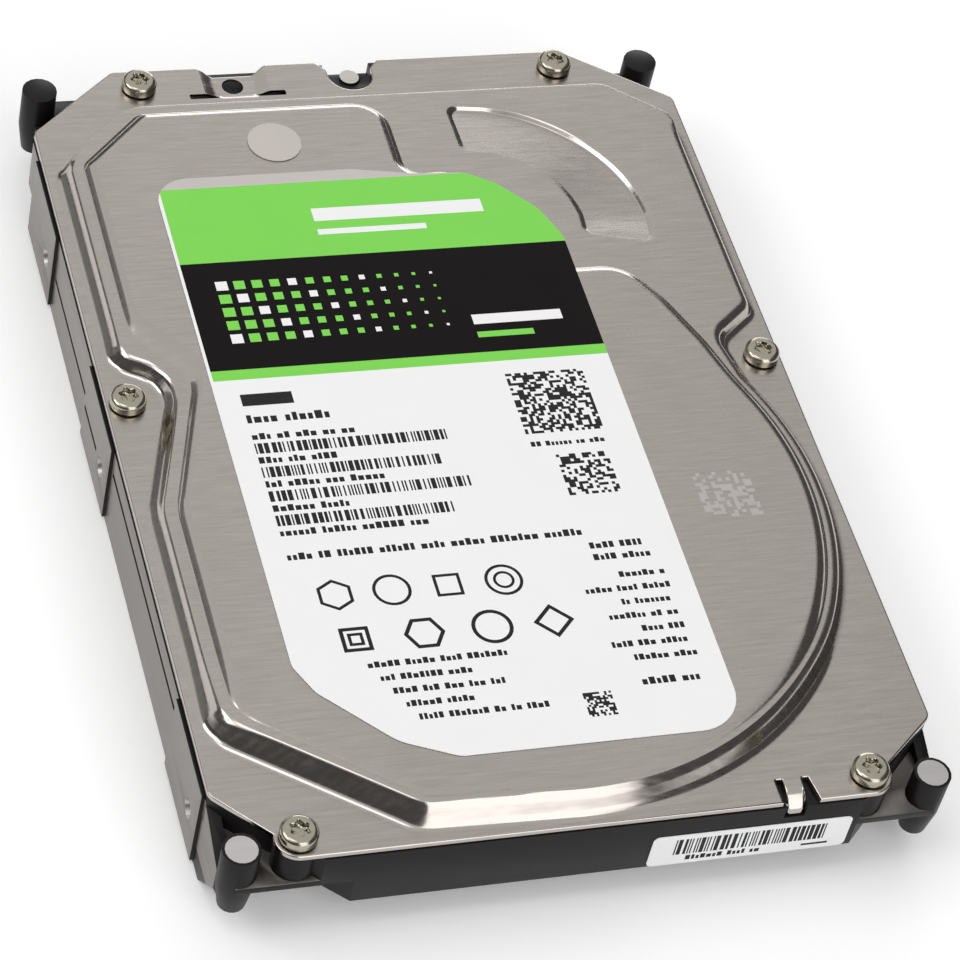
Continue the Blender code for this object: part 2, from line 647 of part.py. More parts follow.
def cover_outline():
    """Plan of the cover's flange, with round tabs at the two front screws."""
    near_left = SCREW_PLACES["near_left"]
    near_right = SCREW_PLACES["near_right"]
    corners = sweep(164, 270, near_left, TAB_RADIUS, 6)
    corners += sweep(270, 380, near_right, TAB_RADIUS, 6)
    corners += [(COVER_X, -COVER_Y + 11.6 * MM, 2 * MM), (COVER_X, COVER_Y - 11.7 * MM, 2 * MM)]
    corners += [(COVER_X - 15.6 * MM, COVER_Y, 2 * MM), (-COVER_X + 14.0 * MM, COVER_Y, 2 * MM)]
    corners += [(-COVER_X, COVER_Y - 12.0 * MM, 2 * MM), (-COVER_X, -COVER_Y + 11.2 * MM, 2 * MM)]
    return rounded(corners)


def step_outline():
    """Foot of the cover's main step."""
    left = -COVER_X + STEP_LEFT
    right = COVER_X - STEP_RIGHT
    far = COVER_Y - STEP_FAR
    jog_left = SCREW_PLACES["mid_left"]
    jog_right = SCREW_PLACES["mid_right"]
    neck = math.degrees(math.asin((jog_right.y - 1.8 * MM - BOW.y) / BOW_RADIUS))
    front = BOW.y - BOW_RADIUS
    corners = sweep(-90, neck, BOW, BOW_RADIUS, 18)
    corners += [(jog_right.x - 5.7 * MM, jog_right.y + 3.6 * MM, 3 * MM)]
    corners += [(right, jog_right.y + 10.4 * MM, 4 * MM), (right, far - 8.4 * MM, 5 * MM)]
    corners += [(right - 10 * MM, far, 5 * MM), (left + 12 * MM, far, 5 * MM)]
    corners += [(left, far - 11.5 * MM, 5 * MM), (left, jog_left.y + 9.0 * MM, 4 * MM)]
    corners += [(jog_left.x + 6.2 * MM, jog_left.y + 2.6 * MM, 4 * MM)]
    corners += [(jog_left.x + 6.3 * MM, jog_left.y - 1 * MM, 6 * MM)]
    corners += [(left, jog_left.y - 23 * MM, 15 * MM)]
    corners += [(left, front + 19 * MM, 7 * MM), (left + 23.6 * MM, front + 1.2 * MM, 7 * MM)]
    return rounded(corners)


def panel_outline():
    """Foot of the upper panel: the disc area and the left part of the actuator area."""
    left = PANEL_LEFT_X
    far = PANEL_FAR_Y
    jog = SCREW_PLACES["mid_left"]
    front = BOW.y - PANEL_RADIUS
    corners = sweep(-90, 30, BOW, PANEL_RADIUS, 18)
    corners += [(PIVOT.x + 22.0 * MM, PIVOT.y - 16.5 * MM, 5 * MM)]
    corners += [(PIVOT.x + 16.0 * MM, PIVOT.y - 10.8 * MM, 5 * MM)]
    corners += [(PIVOT.x + 4.0 * MM, PIVOT.y - 10.8 * MM, 5 * MM)]
    corners += [(PIVOT.x - 9.8 * MM, PIVOT.y + 8 * MM, 6 * MM)]
    corners += [(PIVOT.x - 9.8 * MM, PIVOT.y + 19 * MM, 5 * MM), (PIVOT.x - 12.5 * MM, far, 3 * MM)]
    corners += [(left + 10.2 * MM, far, 3 * MM), (left, far - 9.6 * MM, 3 * MM)]
    corners += [(left, jog.y + 10.3 * MM, 4 * MM), (jog.x + 8.9 * MM, jog.y + 2.4 * MM, 4 * MM)]
    corners += [(jog.x + 9.0 * MM, jog.y - 1.4 * MM, 5 * MM), (left, jog.y - 24.5 * MM, 15 * MM)]
    corners += [(left, front + 16.5 * MM, 7 * MM), (left + 21.5 * MM, front + 1.2 * MM, 7 * MM)]
    return rounded(corners)


def label_outline():
    """Plan of the top label."""
    return rounded(
        [
            (-LABEL_LEFT, -LABEL_NEAR + 17.2 * MM, 3 * MM),
            (-LABEL_LEFT + 2.2 * MM, -LABEL_NEAR + 12.6 * MM, 4 * MM),
            (-LABEL_LEFT + 11.2 * MM, -LABEL_NEAR + 3.4 * MM, 8 * MM),
            (-LABEL_LEFT + 18.8 * MM, -LABEL_NEAR, 4 * MM),
            (LABEL_RIGHT, -LABEL_NEAR, 6.5 * MM),
            (LABEL_RIGHT, LABEL_FAR - 16.4 * MM, 4 * MM),
            (LABEL_RIGHT - 2.2 * MM, LABEL_FAR - 10.4 * MM, 8 * MM),
            (LABEL_RIGHT - 7.5 * MM, LABEL_FAR - 4.5 * MM, 6 * MM),
            (LABEL_RIGHT - 11.7 * MM, LABEL_FAR - 2.0 * MM, 4 * MM),
            (LABEL_RIGHT - 19.5 * MM, LABEL_FAR - 1.6 * MM, 4 * MM),
            (LABEL_RIGHT - 28.5 * MM, LABEL_FAR, 4 * MM),
            (-LABEL_LEFT, LABEL_FAR, 5 * MM),
        ]
    )


def gathered(name, things, parent=None):
    """One hidden cutter made of several separate shapes."""
    shape = bmesh.new()
    for thing in things:
        thing.data.transform(thing.matrix_basis)
        shape.from_mesh(thing.data)
        bpy.data.objects.remove(thing)
    mesh = bpy.data.meshes.new(name)
    shape.to_mesh(mesh)
    shape.free()
    return place(name, mesh, parent, True)


def box_between(name, x_ends, y_ends, low, high):
    """Box whose ends along X and Y may be given in either order."""
    return box(name, min(x_ends), min(y_ends), low, max(x_ends), max(y_ends), high)


def make_base():
    """Base casting: a tub on two rails with corner posts, shelves, pads and holes."""
    shelf_top = RIM - SHELF_DROP
    shelf_low = shelf_top - SHELF_THICKNESS
    base = prism("base_casting", [body_outline(0)], shelf_top - SHELF_THICKNESS / 2, RIM)
    lower_top = shelf_top - SHELF_THICKNESS / 4
    lower = prism("base_lower", [body_outline(LOW_CUT_EXTRA)], FLOOR_UNDER, lower_top)
    post_x = HALF_WIDTH - POST_INSET
    post_y = HALF_LENGTH - POST_INSET
    post_top = RIM + POST_RISE
    rails = []
    shelves = []
    posts = []
    bosses = []
    pads = []
    gussets = []
    for side in (-1, 1):
        rail_x = (side * (BODY_X - RAIL_WIDTH), side * BODY_X)
        rail_y = (-HALF_LENGTH + RAIL_SETBACK, HALF_LENGTH - REAR_RAIL_SETBACK)
        rails.append(box_between("rail", rail_x, rail_y, 0, FLOOR_UNDER + FLOOR_THICKNESS / 2))
        for end in (-1, 1):
            inner_x = BODY_X - FAR_CUT_X - LOW_CUT_EXTRA
            inner_y = HALF_LENGTH - FAR_CUT_Y - LOW_CUT_EXTRA
            shelf_x = (side * inner_x, side * (BODY_X - GUSSET + EASE))
            shelf_y = (end * inner_y, end * (HALF_LENGTH - SHELF_END_GAP))
            low = shelf_low if end < 0 else FLOOR_UNDER + EASE
            shelves.append(box_between("shelf", shelf_x, shelf_y, low, shelf_top))
            centre = (side * post_x, end * post_y)
            post_low = post_top - POST_LENGTH
            posts.append(cylinder("post", centre, POST_RADIUS, post_low, post_top, 18))
        rail_end = -HALF_LENGTH + RAIL_SETBACK
        post_side = -post_y + 1 * MM
        web = [
            Vector((rail_end + 2 * MM, 2 * EASE)),
            Vector((rail_end + 2 * MM, RIM - 2 * MM)),
            Vector((rail_end - 0.6 * MM, RIM - 2 * MM)),
            Vector((post_side, shelf_top - 0.3 * MM)),
            Vector((post_side, shelf_low - 3.3 * MM)),
            Vector((rail_end - 3 * MM, 2 * EASE)),
        ]
        ends = sorted((side * (BODY_X - GUSSET), side * (BODY_X - EASE / 2)))
        gusset = prism("gusset", [web], ends[0], ends[1])
        gusset.rotation_euler = (math.pi / 2, 0, math.pi / 2)
        gussets.append(gusset)
        boss_at = SCREW_PLACES["near_left" if side < 0 else "near_right"]
        boss_low = shelf_low + 2 * EASE
        bosses.append(cylinder("boss", boss_at, BOSS_RADIUS, boss_low, RIM - EASE, 20))
        for y in SIDE_HOLES:
            pad_x = (side * (BODY_X - 1 * MM), side * HALF_WIDTH)
            pad_y = (y - PAD_BEFORE, min(y + PAD_AFTER, HALF_LENGTH - FAR_CUT_Y - 1 * MM))
            pads.append(box_between("pad", pad_x, pad_y, 0.6 * MM, RIM - 1 * MM))
    join(base, lower, gathered("base_rails", rails), gathered("base_shelves", shelves))
    join(base, gathered("base_gussets", gussets), gathered("base_posts", posts))
    join(base, gathered("base_bosses", bosses), gathered("base_pads", pads))
    cut(base, prism("cavity_cut", [cavity_outline()], FLOOR_TOP, RIM + CUT_PAST, cutter=True))
    stands = []
    stand_low = BOARD_TOP + FIT
    stand_radius = BOARD_SCREW_RADIUS + FIT
    for centre in board_screw_places():
        stands.append(cylinder("stand", centre, stand_radius, stand_low, FLOOR_UNDER + BITE, 16))
    ramp_at = ramp_screw_place()
    ramp_foot = RAMP_FOOT - FIT
    stands.append(cylinder("stand", ramp_at, RAMP_FOOT_RADIUS, FLOOR_TOP - BITE, ramp_foot, 16))
    join(base, gathered("base_stands", stands))
    holes = []
    for centre in SCREW_PLACES.values():
        low = FLANGE_TOP - SHANK_LENGTH - FIT
        holes.append(cylinder("hole", centre, SHANK_RADIUS + FIT, low, RIM + 3 * MM, 12))
    for side in (-1, 1):
        for y in SIDE_HOLES:
            hole = cylinder("hole", (0, 0), MOUNT_HOLE_RADIUS, 0, SIDE_HOLE_DEPTH + CUT_PAST, 14)
            hole.rotation_euler = (0, -side * math.pi / 2, 0)
            hole.location = (side * (HALF_WIDTH + CUT_PAST), y, SIDE_HOLE_HEIGHT)
            holes.append(hole)
        for y in BOTTOM_HOLES:
            centre = (side * (HALF_WIDTH - BOTTOM_HOLE_INSET), y)
            depth = BOTTOM_HOLE_DEPTH
            holes.append(cylinder("hole", centre, MOUNT_HOLE_RADIUS, -CUT_PAST, depth, 14))
    for centre in board_screw_places():
        holes.append(cylinder("hole", centre, BOARD_SHANK + FIT, 0, FLOOR_UNDER + BITE, 10))
    under = FLOOR_UNDER - CUT_PAST
    above = FLOOR_TOP + CUT_PAST
    holes.append(cylinder("hole", ramp_at, BOARD_SHANK + FIT, FLOOR_TOP, RAMP_FOOT + 2 * MM, 10))
    holes.append(cylinder("hole", SPINDLE, MOTOR_BORE, under, above, 32))
    pin_low = RIM - PIN_LENGTH
    holes.append(cylinder("hole", PIN_PLACE, PIN_RADIUS + FIT, pin_low, RIM + CUT_PAST, 12))
    cut(base, gathered("base_hole_cuts", holes))
    pockets = [ramp_room()]
    connector_x = (CONNECTOR_INNER - HEADER_GAP - HEADER_WIDTH - FIT, CONNECTOR_OUTER + FIT)
    connector_y = (CONNECTOR_NEAR - FIT, HALF_LENGTH + 2 * MM)
    connector_top = CONNECTOR_LOW + CONNECTOR_HEIGHT + FIT
    pockets.append(box_between("pocket", connector_x, connector_y, under, connector_top))
    slot = bracket_box(FIT)
    pockets.append(box_between("pocket", slot[0], slot[1], under, above))
    dip_x = (-DIP_X - DIP_LEFT - FIT, -DIP_X + DIP_RIGHT + FIT)
    dip_y = (COVER_Y - DIP_SLOT - FIT, HALF_LENGTH + CUT_PAST)
    pockets.append(box_between("pocket", dip_x, dip_y, RIM - DIP_SINK, RIM + CUT_PAST))
    hook_x = (HOOK_X - FIT, HOOK_X + HOOK_WIDTH + FIT)
    hook_y = (FRONT_Y - 2 * MM, -COVER_Y + SHEET + FIT)
    hook_low = FLANGE_LOW - HOOK_DROP - FIT
    pockets.append(box_between("pocket", hook_x, hook_y, hook_low, RIM + CUT_PAST))
    cut(base, gathered("base_pocket_cuts", pockets))
    return base


def make_cover():
    """Pressed cover: flange, step, panel, crescent, notches and holes, hollow underneath."""
    flange = prism("top_cover", [cover_outline()], FLANGE_LOW, FLANGE_TOP)
    sink = 0.2 * MM
    lean = STEP_SLOPE / STEP_RISE
    panel_lean = PANEL_SLOPE / PANEL_RISE
    step_foot = FLANGE_TOP - sink
    panel_foot = STEP_TOP - sink
    rise = STEP_RISE + sink
    low = step_foot - 0.3 * MM
    step = sloped_block("cover_step", step_outline(), low, step_foot, rise, rise * lean)
    rise = PANEL_RISE + sink
    low = panel_foot - 0.4 * MM
    panel = sloped_block("cover_panel", panel_outline(), low, panel_foot, rise, rise * panel_lean)
    hook_x = (HOOK_X, HOOK_X + HOOK_WIDTH)
    hook_y = (-COVER_Y, -COVER_Y + SHEET)
    low = FLANGE_LOW - HOOK_DROP
    hook = box_between("cover_hook", hook_x, hook_y, low, FLANGE_TOP - sink)
    join(flange, step, panel, hook)
    under = grown(step_outline(), -SLOPE_WALL)
    foot = FLANGE_LOW - sink
    rise = STEP_RISE + sink
    hollow = sloped_block("cover_hollow", under, foot - 2 * MM, foot, rise, rise * lean)
    under = grown(panel_outline(), -SLOPE_WALL)
    foot = STEP_TOP - SHEET - sink
    rise = PANEL_RISE + sink
    low = foot - 0.4 * MM
    raised = sloped_block("cover_panel_hollow", under, low, foot, rise, rise * panel_lean)
    cut(flange, hollow, raised)
    outer = VCM_OUTER - 0.4 * MM
    inner = outer - CRESCENT_WIDTH
    floor = STEP_TOP - CRESCENT_DEPTH
    first = POST_ANGLE_LOW + CRESCENT_SHORT
    last = POST_ANGLE_HIGH - CRESCENT_SHORT
    wide = sector(inner - SHEET, outer + SHEET, first - 2.5, last + 2.5, 14, PIVOT)
    join(flange, prism("cover_dish", [wide], floor - SHEET, STEP_TOP - SHEET / 2))
    sunk = sector(inner, outer, first, last, 14, PIVOT)
    cut(flange, prism("cover_crescent_cut", [sunk], floor, STEP_TOP + 1 * MM, cutter=True))
    low = FLANGE_LOW - CUT_PAST
    high = FLANGE_TOP + CUT_PAST
    holes = []
    for centre in SCREW_PLACES.values():
        holes.append(cylinder("hole", centre, SHANK_RADIUS + 2 * FIT, low, high, 16))
    beyond = COVER_Y + 2 * MM
    notch = arc(PIN_PLACE, PIN_NOTCH, 180, 360, 12)
    mouth = PIN_NOTCH + 1.5 * MM
    notch += [Vector((PIN_PLACE.x + mouth, beyond)), Vector((PIN_PLACE.x - mouth, beyond))]
    holes.append(prism("hole", [notch], low, high))
    dip = COVER_Y - DIP_DEPTH
    dip_notch = [
        Vector((-DIP_X - 1.9 * MM, dip)),
        Vector((-DIP_X + 2.4 * MM, dip)),
        Vector((-DIP_X + 6.2 * MM, beyond)),
        Vector((-DIP_X - 5.6 * MM, beyond)),
    ]
    holes.append(prism("hole", [dip_notch], low, high))
    holes.append(cylinder("hole", (-DIP_X + 0.8 * MM, dip - 2 * MM), DIP_HOLE, low, high, 16))
    slot_y = (COVER_Y - DIP_SLOT, COVER_Y - DIP_SLOT + 0.7 * MM)
    slot_left = (-DIP_X - DIP_LEFT, -DIP_X - 2.5 * MM)
    slot_right = (-DIP_X + 3.8 * MM, -DIP_X + DIP_RIGHT)
    holes.append(box_between("hole", slot_left, slot_y, low, high))
    holes.append(box_between("hole", slot_right, slot_y, low, high))
    slit_y = (-COVER_Y - CUT_PAST, -COVER_Y + SLIT_DEPTH)
    slit_low = low - HOOK_DROP - CUT_PAST
    slit_x = (HOOK_X - 1 * MM, HOOK_X - SLIT_SIDE)
    holes.append(box_between("hole", slit_x, slit_y, slit_low, high))
    right = HOOK_X + HOOK_WIDTH + SLIT_SIDE
    slit = [
        Vector((right, slit_y[0])),
        Vector((right + 2 * MM, slit_y[0])),
        Vector((right + 1.4 * MM, slit_y[1])),
        Vector((right + 0.5 * MM, slit_y[1])),
    ]
    holes.append(prism("hole", [slit], slit_low, high))
    low = STEP_TOP - CUT_PAST
    high = PANEL_TOP + CUT_PAST
    holes.append(cylinder("hole", SEAL_PLACE, SEAL_HOLE_RADIUS, low, high, 16))
    cut(flange, gathered("cover_hole_cuts", holes))
    return flange


def make_screw(name, centre, head, head_low, head_height, shank, shank_end, recess, steps):
    """Screw pointing down, or up where the head's height is negative.

    head, shank and recess are radii. The head's upper edge is bevelled.
    """
    top = head_low + head_height
    profile = [
        (0, top),
        (head - HEAD_BEVEL, top),
        (head, head_low + head_height * HEAD_SIDE),
        (head, head_low),
        (shank, head_low),
        (shank, shank_end),
        (0, shank_end),
    ]
    if head_height < 0:
        profile.reverse()
    screw = turned(name, profile, False, steps)
    lobes = []
    for index in range(12):
        radius = recess if index % 2 == 0 else recess * 0.72
        lobes.append(polar(radius, math.tau * index / 12))
    ends = sorted((top - 0.6 * head_height, top + head_height))
    cut(screw, prism(name + "_recess", [lobes], ends[0], ends[1], cutter=True))
    bpy.context.view_layer.update()
    recess_shape = screw.modifiers[-1].object
    baked(screw)
    bpy.data.objects.remove(recess_shape)
    smooth(screw)
    screw.location = (centre[0], centre[1], 0)
    return screw


def copy_screw(screw, name, centre, parent=None):
    twin = place(name, screw.data, parent)
    twin.location = (centre[0], centre[1], 0)
    return twin


def make_cover_screws():
    """Six cover screws of one mesh."""
    low = FLANGE_TOP + FIT
    first = None
    for name, centre in SCREW_PLACES.items():
        full = "cover_screw_" + name
        if first is None:
            end = low - SHANK_LENGTH
            sizes = (HEAD_RADIUS, low, HEAD_HEIGHT, SHANK_RADIUS, end, RECESS_RADIUS)
            first = make_screw(full, centre, *sizes, 16)
            finish(first, *BRIGHT)
        else:
            copy_screw(first, full, centre)


def make_labels():
    """Top label draped over the panel's edge, end label on the front wall and the port seal."""
    label = prism("top_label", [label_outline()], STEP_TOP - 0.2 * MM, PANEL_TOP + 1 * MM)
    sink = 0.2 * MM
    rise = PANEL_RISE + sink
    for name, lift, operation in (("high", LABEL_THICKNESS, "INTERSECT"), ("low", 0, "DIFFERENCE")):
        up = SKIN_GAP + lift
        around = grown(label_outline(), 2 * MM)
        slab = prism(f"label_{name}_cut", [around], STEP_TOP - 2 * MM, STEP_TOP + up, cutter=True)
        foot = STEP_TOP - sink + up
        low = foot - BITE
        drawn_in = rise * PANEL_SLOPE / PANEL_RISE
        raised = sloped_block(f"label_{name}_panel", panel_outline(), low, foot, rise, drawn_in)
        join(slab, raised)
        combine(label, slab, operation)
    finish(flattened(label), *PAPER)
    right = BODY_X - NEAR_CUT_X - END_LABEL_INSET
    left = right - END_LABEL_LENGTH
    low = FLOOR_UNDER + EASE
    high = low + END_LABEL_HEIGHT
    corners = [(left, low), (right, low), (right, high), (left, high)]
    outline = rounded([(x, z, END_LABEL_CORNER) for x, z in corners])
    end = prism("end_label", [outline], -FRONT_Y + SKIN_GAP, -FRONT_Y + SKIN_GAP + LABEL_THICKNESS)
    end.rotation_euler = (math.pi / 2, 0, 0)
    finish(end, *PAPER)
    low = PANEL_TOP + SKIN_GAP
    seal = cylinder("port_seal", SEAL_PLACE, SEAL_RADIUS, low, low + LABEL_THICKNESS, 28)
    finish(seal, *SEAL_FILM)


def make_gasket():
    """Gasket round the cavity, between rim and cover, and the rear locating pin."""
    cavity = cavity_outline()
    edges = [grown(cavity, 0.3 * MM + GASKET_WIDTH), grown(cavity, 0.3 * MM)]
    finish(prism("cover_gasket", edges, RIM + SKIN_GAP, RIM + SKIN_GAP + GASKET), *RUBBER)
    low = RIM - PIN_LENGTH + FIT
    pin = cylinder("rear_locating_pin", PIN_PLACE, PIN_RADIUS, low, low + PIN_LENGTH, 20)
    finish(pin, *BRIGHT)


def board_screw_places():
    x = BOARD_X - BOARD_SCREW_INSET
    rear = CONNECTOR_NEAR - FIT - BOARD_SCREW_RADIUS - 4 * MM
    front = BOARD_NEAR + BOARD_SCREW_INSET
    return [Vector((side * x, y)) for side in (-1, 1) for y in (front, rear)]


def board_outline(inset):
    """Plan of the circuit board: a wide part and a tongue toward the motor."""
    tongue = TONGUE_HALF_WIDTH
    near = BOARD_NEAR + inset
    tip = BOARD_NEAR - BOARD_TONGUE + inset
    side = BOARD_X - inset
    return [
        Vector((-tongue + TONGUE_TAPER + inset, tip)),
        Vector((tongue - TONGUE_TAPER - inset, tip)),
        Vector((tongue - inset, near)),
        Vector((side, near)),
        Vector((side, BOARD_FAR)),
        Vector((-side, BOARD_FAR)),
        Vector((-side, near)),
        Vector((-tongue + inset, near)),
    ]


def make_board():
    """Circuit board with chips toward the casting, its insulator, screws and connectors."""
    shank_holes = [circle(centre, BOARD_SHANK + FIT, 12) for centre in board_screw_places()]
    finish(prism("pcb", [board_outline(0)] + shank_holes, BOARD_LOW, BOARD_TOP), *BOARD)
    sheet = board_outline(1 * MM)
    trimmed = CONNECTOR_NEAR - FIT - 1 * MM
    sheet = [Vector((point.x, min(point.y, trimmed))) for point in sheet]
    slot = bracket_box(2 * FIT)
    openings = [circle(centre, BOARD_SCREW_RADIUS + 2 * FIT, 12) for centre in board_screw_places()]
    openings.append(rectangle(slot[0][0], slot[1][0], slot[0][1], slot[1][1]))
    top = FLOOR_UNDER - FIT
    insulator = prism("pcb_insulator", [sheet] + openings, top - INSULATOR, top)
    finish(insulator, *SHEET_BLACK)
    chip_low = BOARD_TOP + STACK_GAP
    middle = (BOARD_NEAR + trimmed) / 2
    chips = (
        ("controller_chip", 6 * MM, middle, 12 * MM, 12 * MM),
        ("memory_chip", -18 * MM, middle + 5 * MM, 7 * MM, 11 * MM),
        ("motor_driver_chip", 0, BOARD_NEAR - 5 * MM, 8 * MM, 8 * MM),
    )
    for name, x, y, width, length in chips:
        chip_x = (x - width / 2, x + width / 2)
        chip_y = (y - length / 2, y + length / 2)
        chip = box_between(name, chip_x, chip_y, chip_low, chip_low + CHIP_HEIGHT)
        finish(chip, *BLACK_PLASTIC)
    first = None
    for index, centre in enumerate(board_screw_places()):
        name = f"pcb_screw_{index + 1}"
        if first is None:
            under = BOARD_LOW - SKIN_GAP
            end = FLOOR_UNDER + 0.2 * MM
            sizes = (BOARD_SCREW_RADIUS, under, -BOARD_SCREW_HEAD, BOARD_SHANK, end, 1.2 * MM)
            first = make_screw(name, centre, *sizes, 12)
            finish(first, *PLATED)
        else:
            copy_screw(first, name, centre)
    make_connector()


def make_connector():
    """Power and data plug, each a bay with a keyed tongue, and the small header beside it."""
    rear = CONNECTOR_NEAR + CONNECTOR_DEPTH
    low = CONNECTOR_LOW
    top = low + CONNECTOR_HEIGHT
    wall = CONNECTOR_WALL
    plug = box("sata_connector", CONNECTOR_INNER, CONNECTOR_NEAR, low, CONNECTOR_OUTER, rear, top)
    split = CONNECTOR_INNER + wall + DATA_SHARE
    bays = [(CONNECTOR_INNER + wall, split), (split + 2 * wall, CONNECTOR_OUTER - wall)]
    hollows = []
    tongues = []
    back = CONNECTOR_NEAR + 1.6 * MM
    middle = (low + top) / 2
    for left, right in bays:
        bay_y = (back, rear + CUT_PAST)
        hollows.append(box_between("bay", (left, right), bay_y, low + wall, top - wall))
        half = TONGUE_THICKNESS / 2
        tongue_x = (left + 1 * MM, right - 1 * MM)
        tongue_y = (back - BITE, rear - 0.8 * MM)
        tongues.append(box_between("tongue", tongue_x, tongue_y, middle - half, middle + half))
    cut(plug, gathered("connector_bay_cuts", hollows))
    join(plug, gathered("connector_tongues", tongues))
    keys = []
    for left, right in bays:
        key_x = (left + 1.2 * MM, left + 1.2 * MM + TONGUE_THICKNESS)
        key_y = (back - 0.4 * MM, rear - 0.9 * MM)
        keys.append(box_between("key", key_x, key_y, low + wall + 0.3 * MM, middle))
    join(plug, gathered("connector_keys", keys))
    finish(plug, *BLACK_PLASTIC)
    right = CONNECTOR_INNER - HEADER_GAP
    left = right - HEADER_WIDTH
    height = 2.5 * MM
    block_far = BOARD_FAR - 0.6 * MM
    block_y = (CONNECTOR_NEAR + 1 * MM, block_far)
    header = box_between("service_header", (left, right), block_y, low, low + height)
    pins = []
    pitch = HEADER_WIDTH / 4
    pin_y = (block_far - 1 * MM, rear)
    pin_low = low + 0.9 * MM
    for index in range(4):
        x = left + pitch * (index + 0.5)
        pin_x = (x - HEADER_PIN / 2, x + HEADER_PIN / 2)
        pins.append(box_between("pin", pin_x, pin_y, pin_low, pin_low + HEADER_PIN))
    join(header, gathered("header_pins", pins))
    finish(header, *BLACK_PLASTIC)


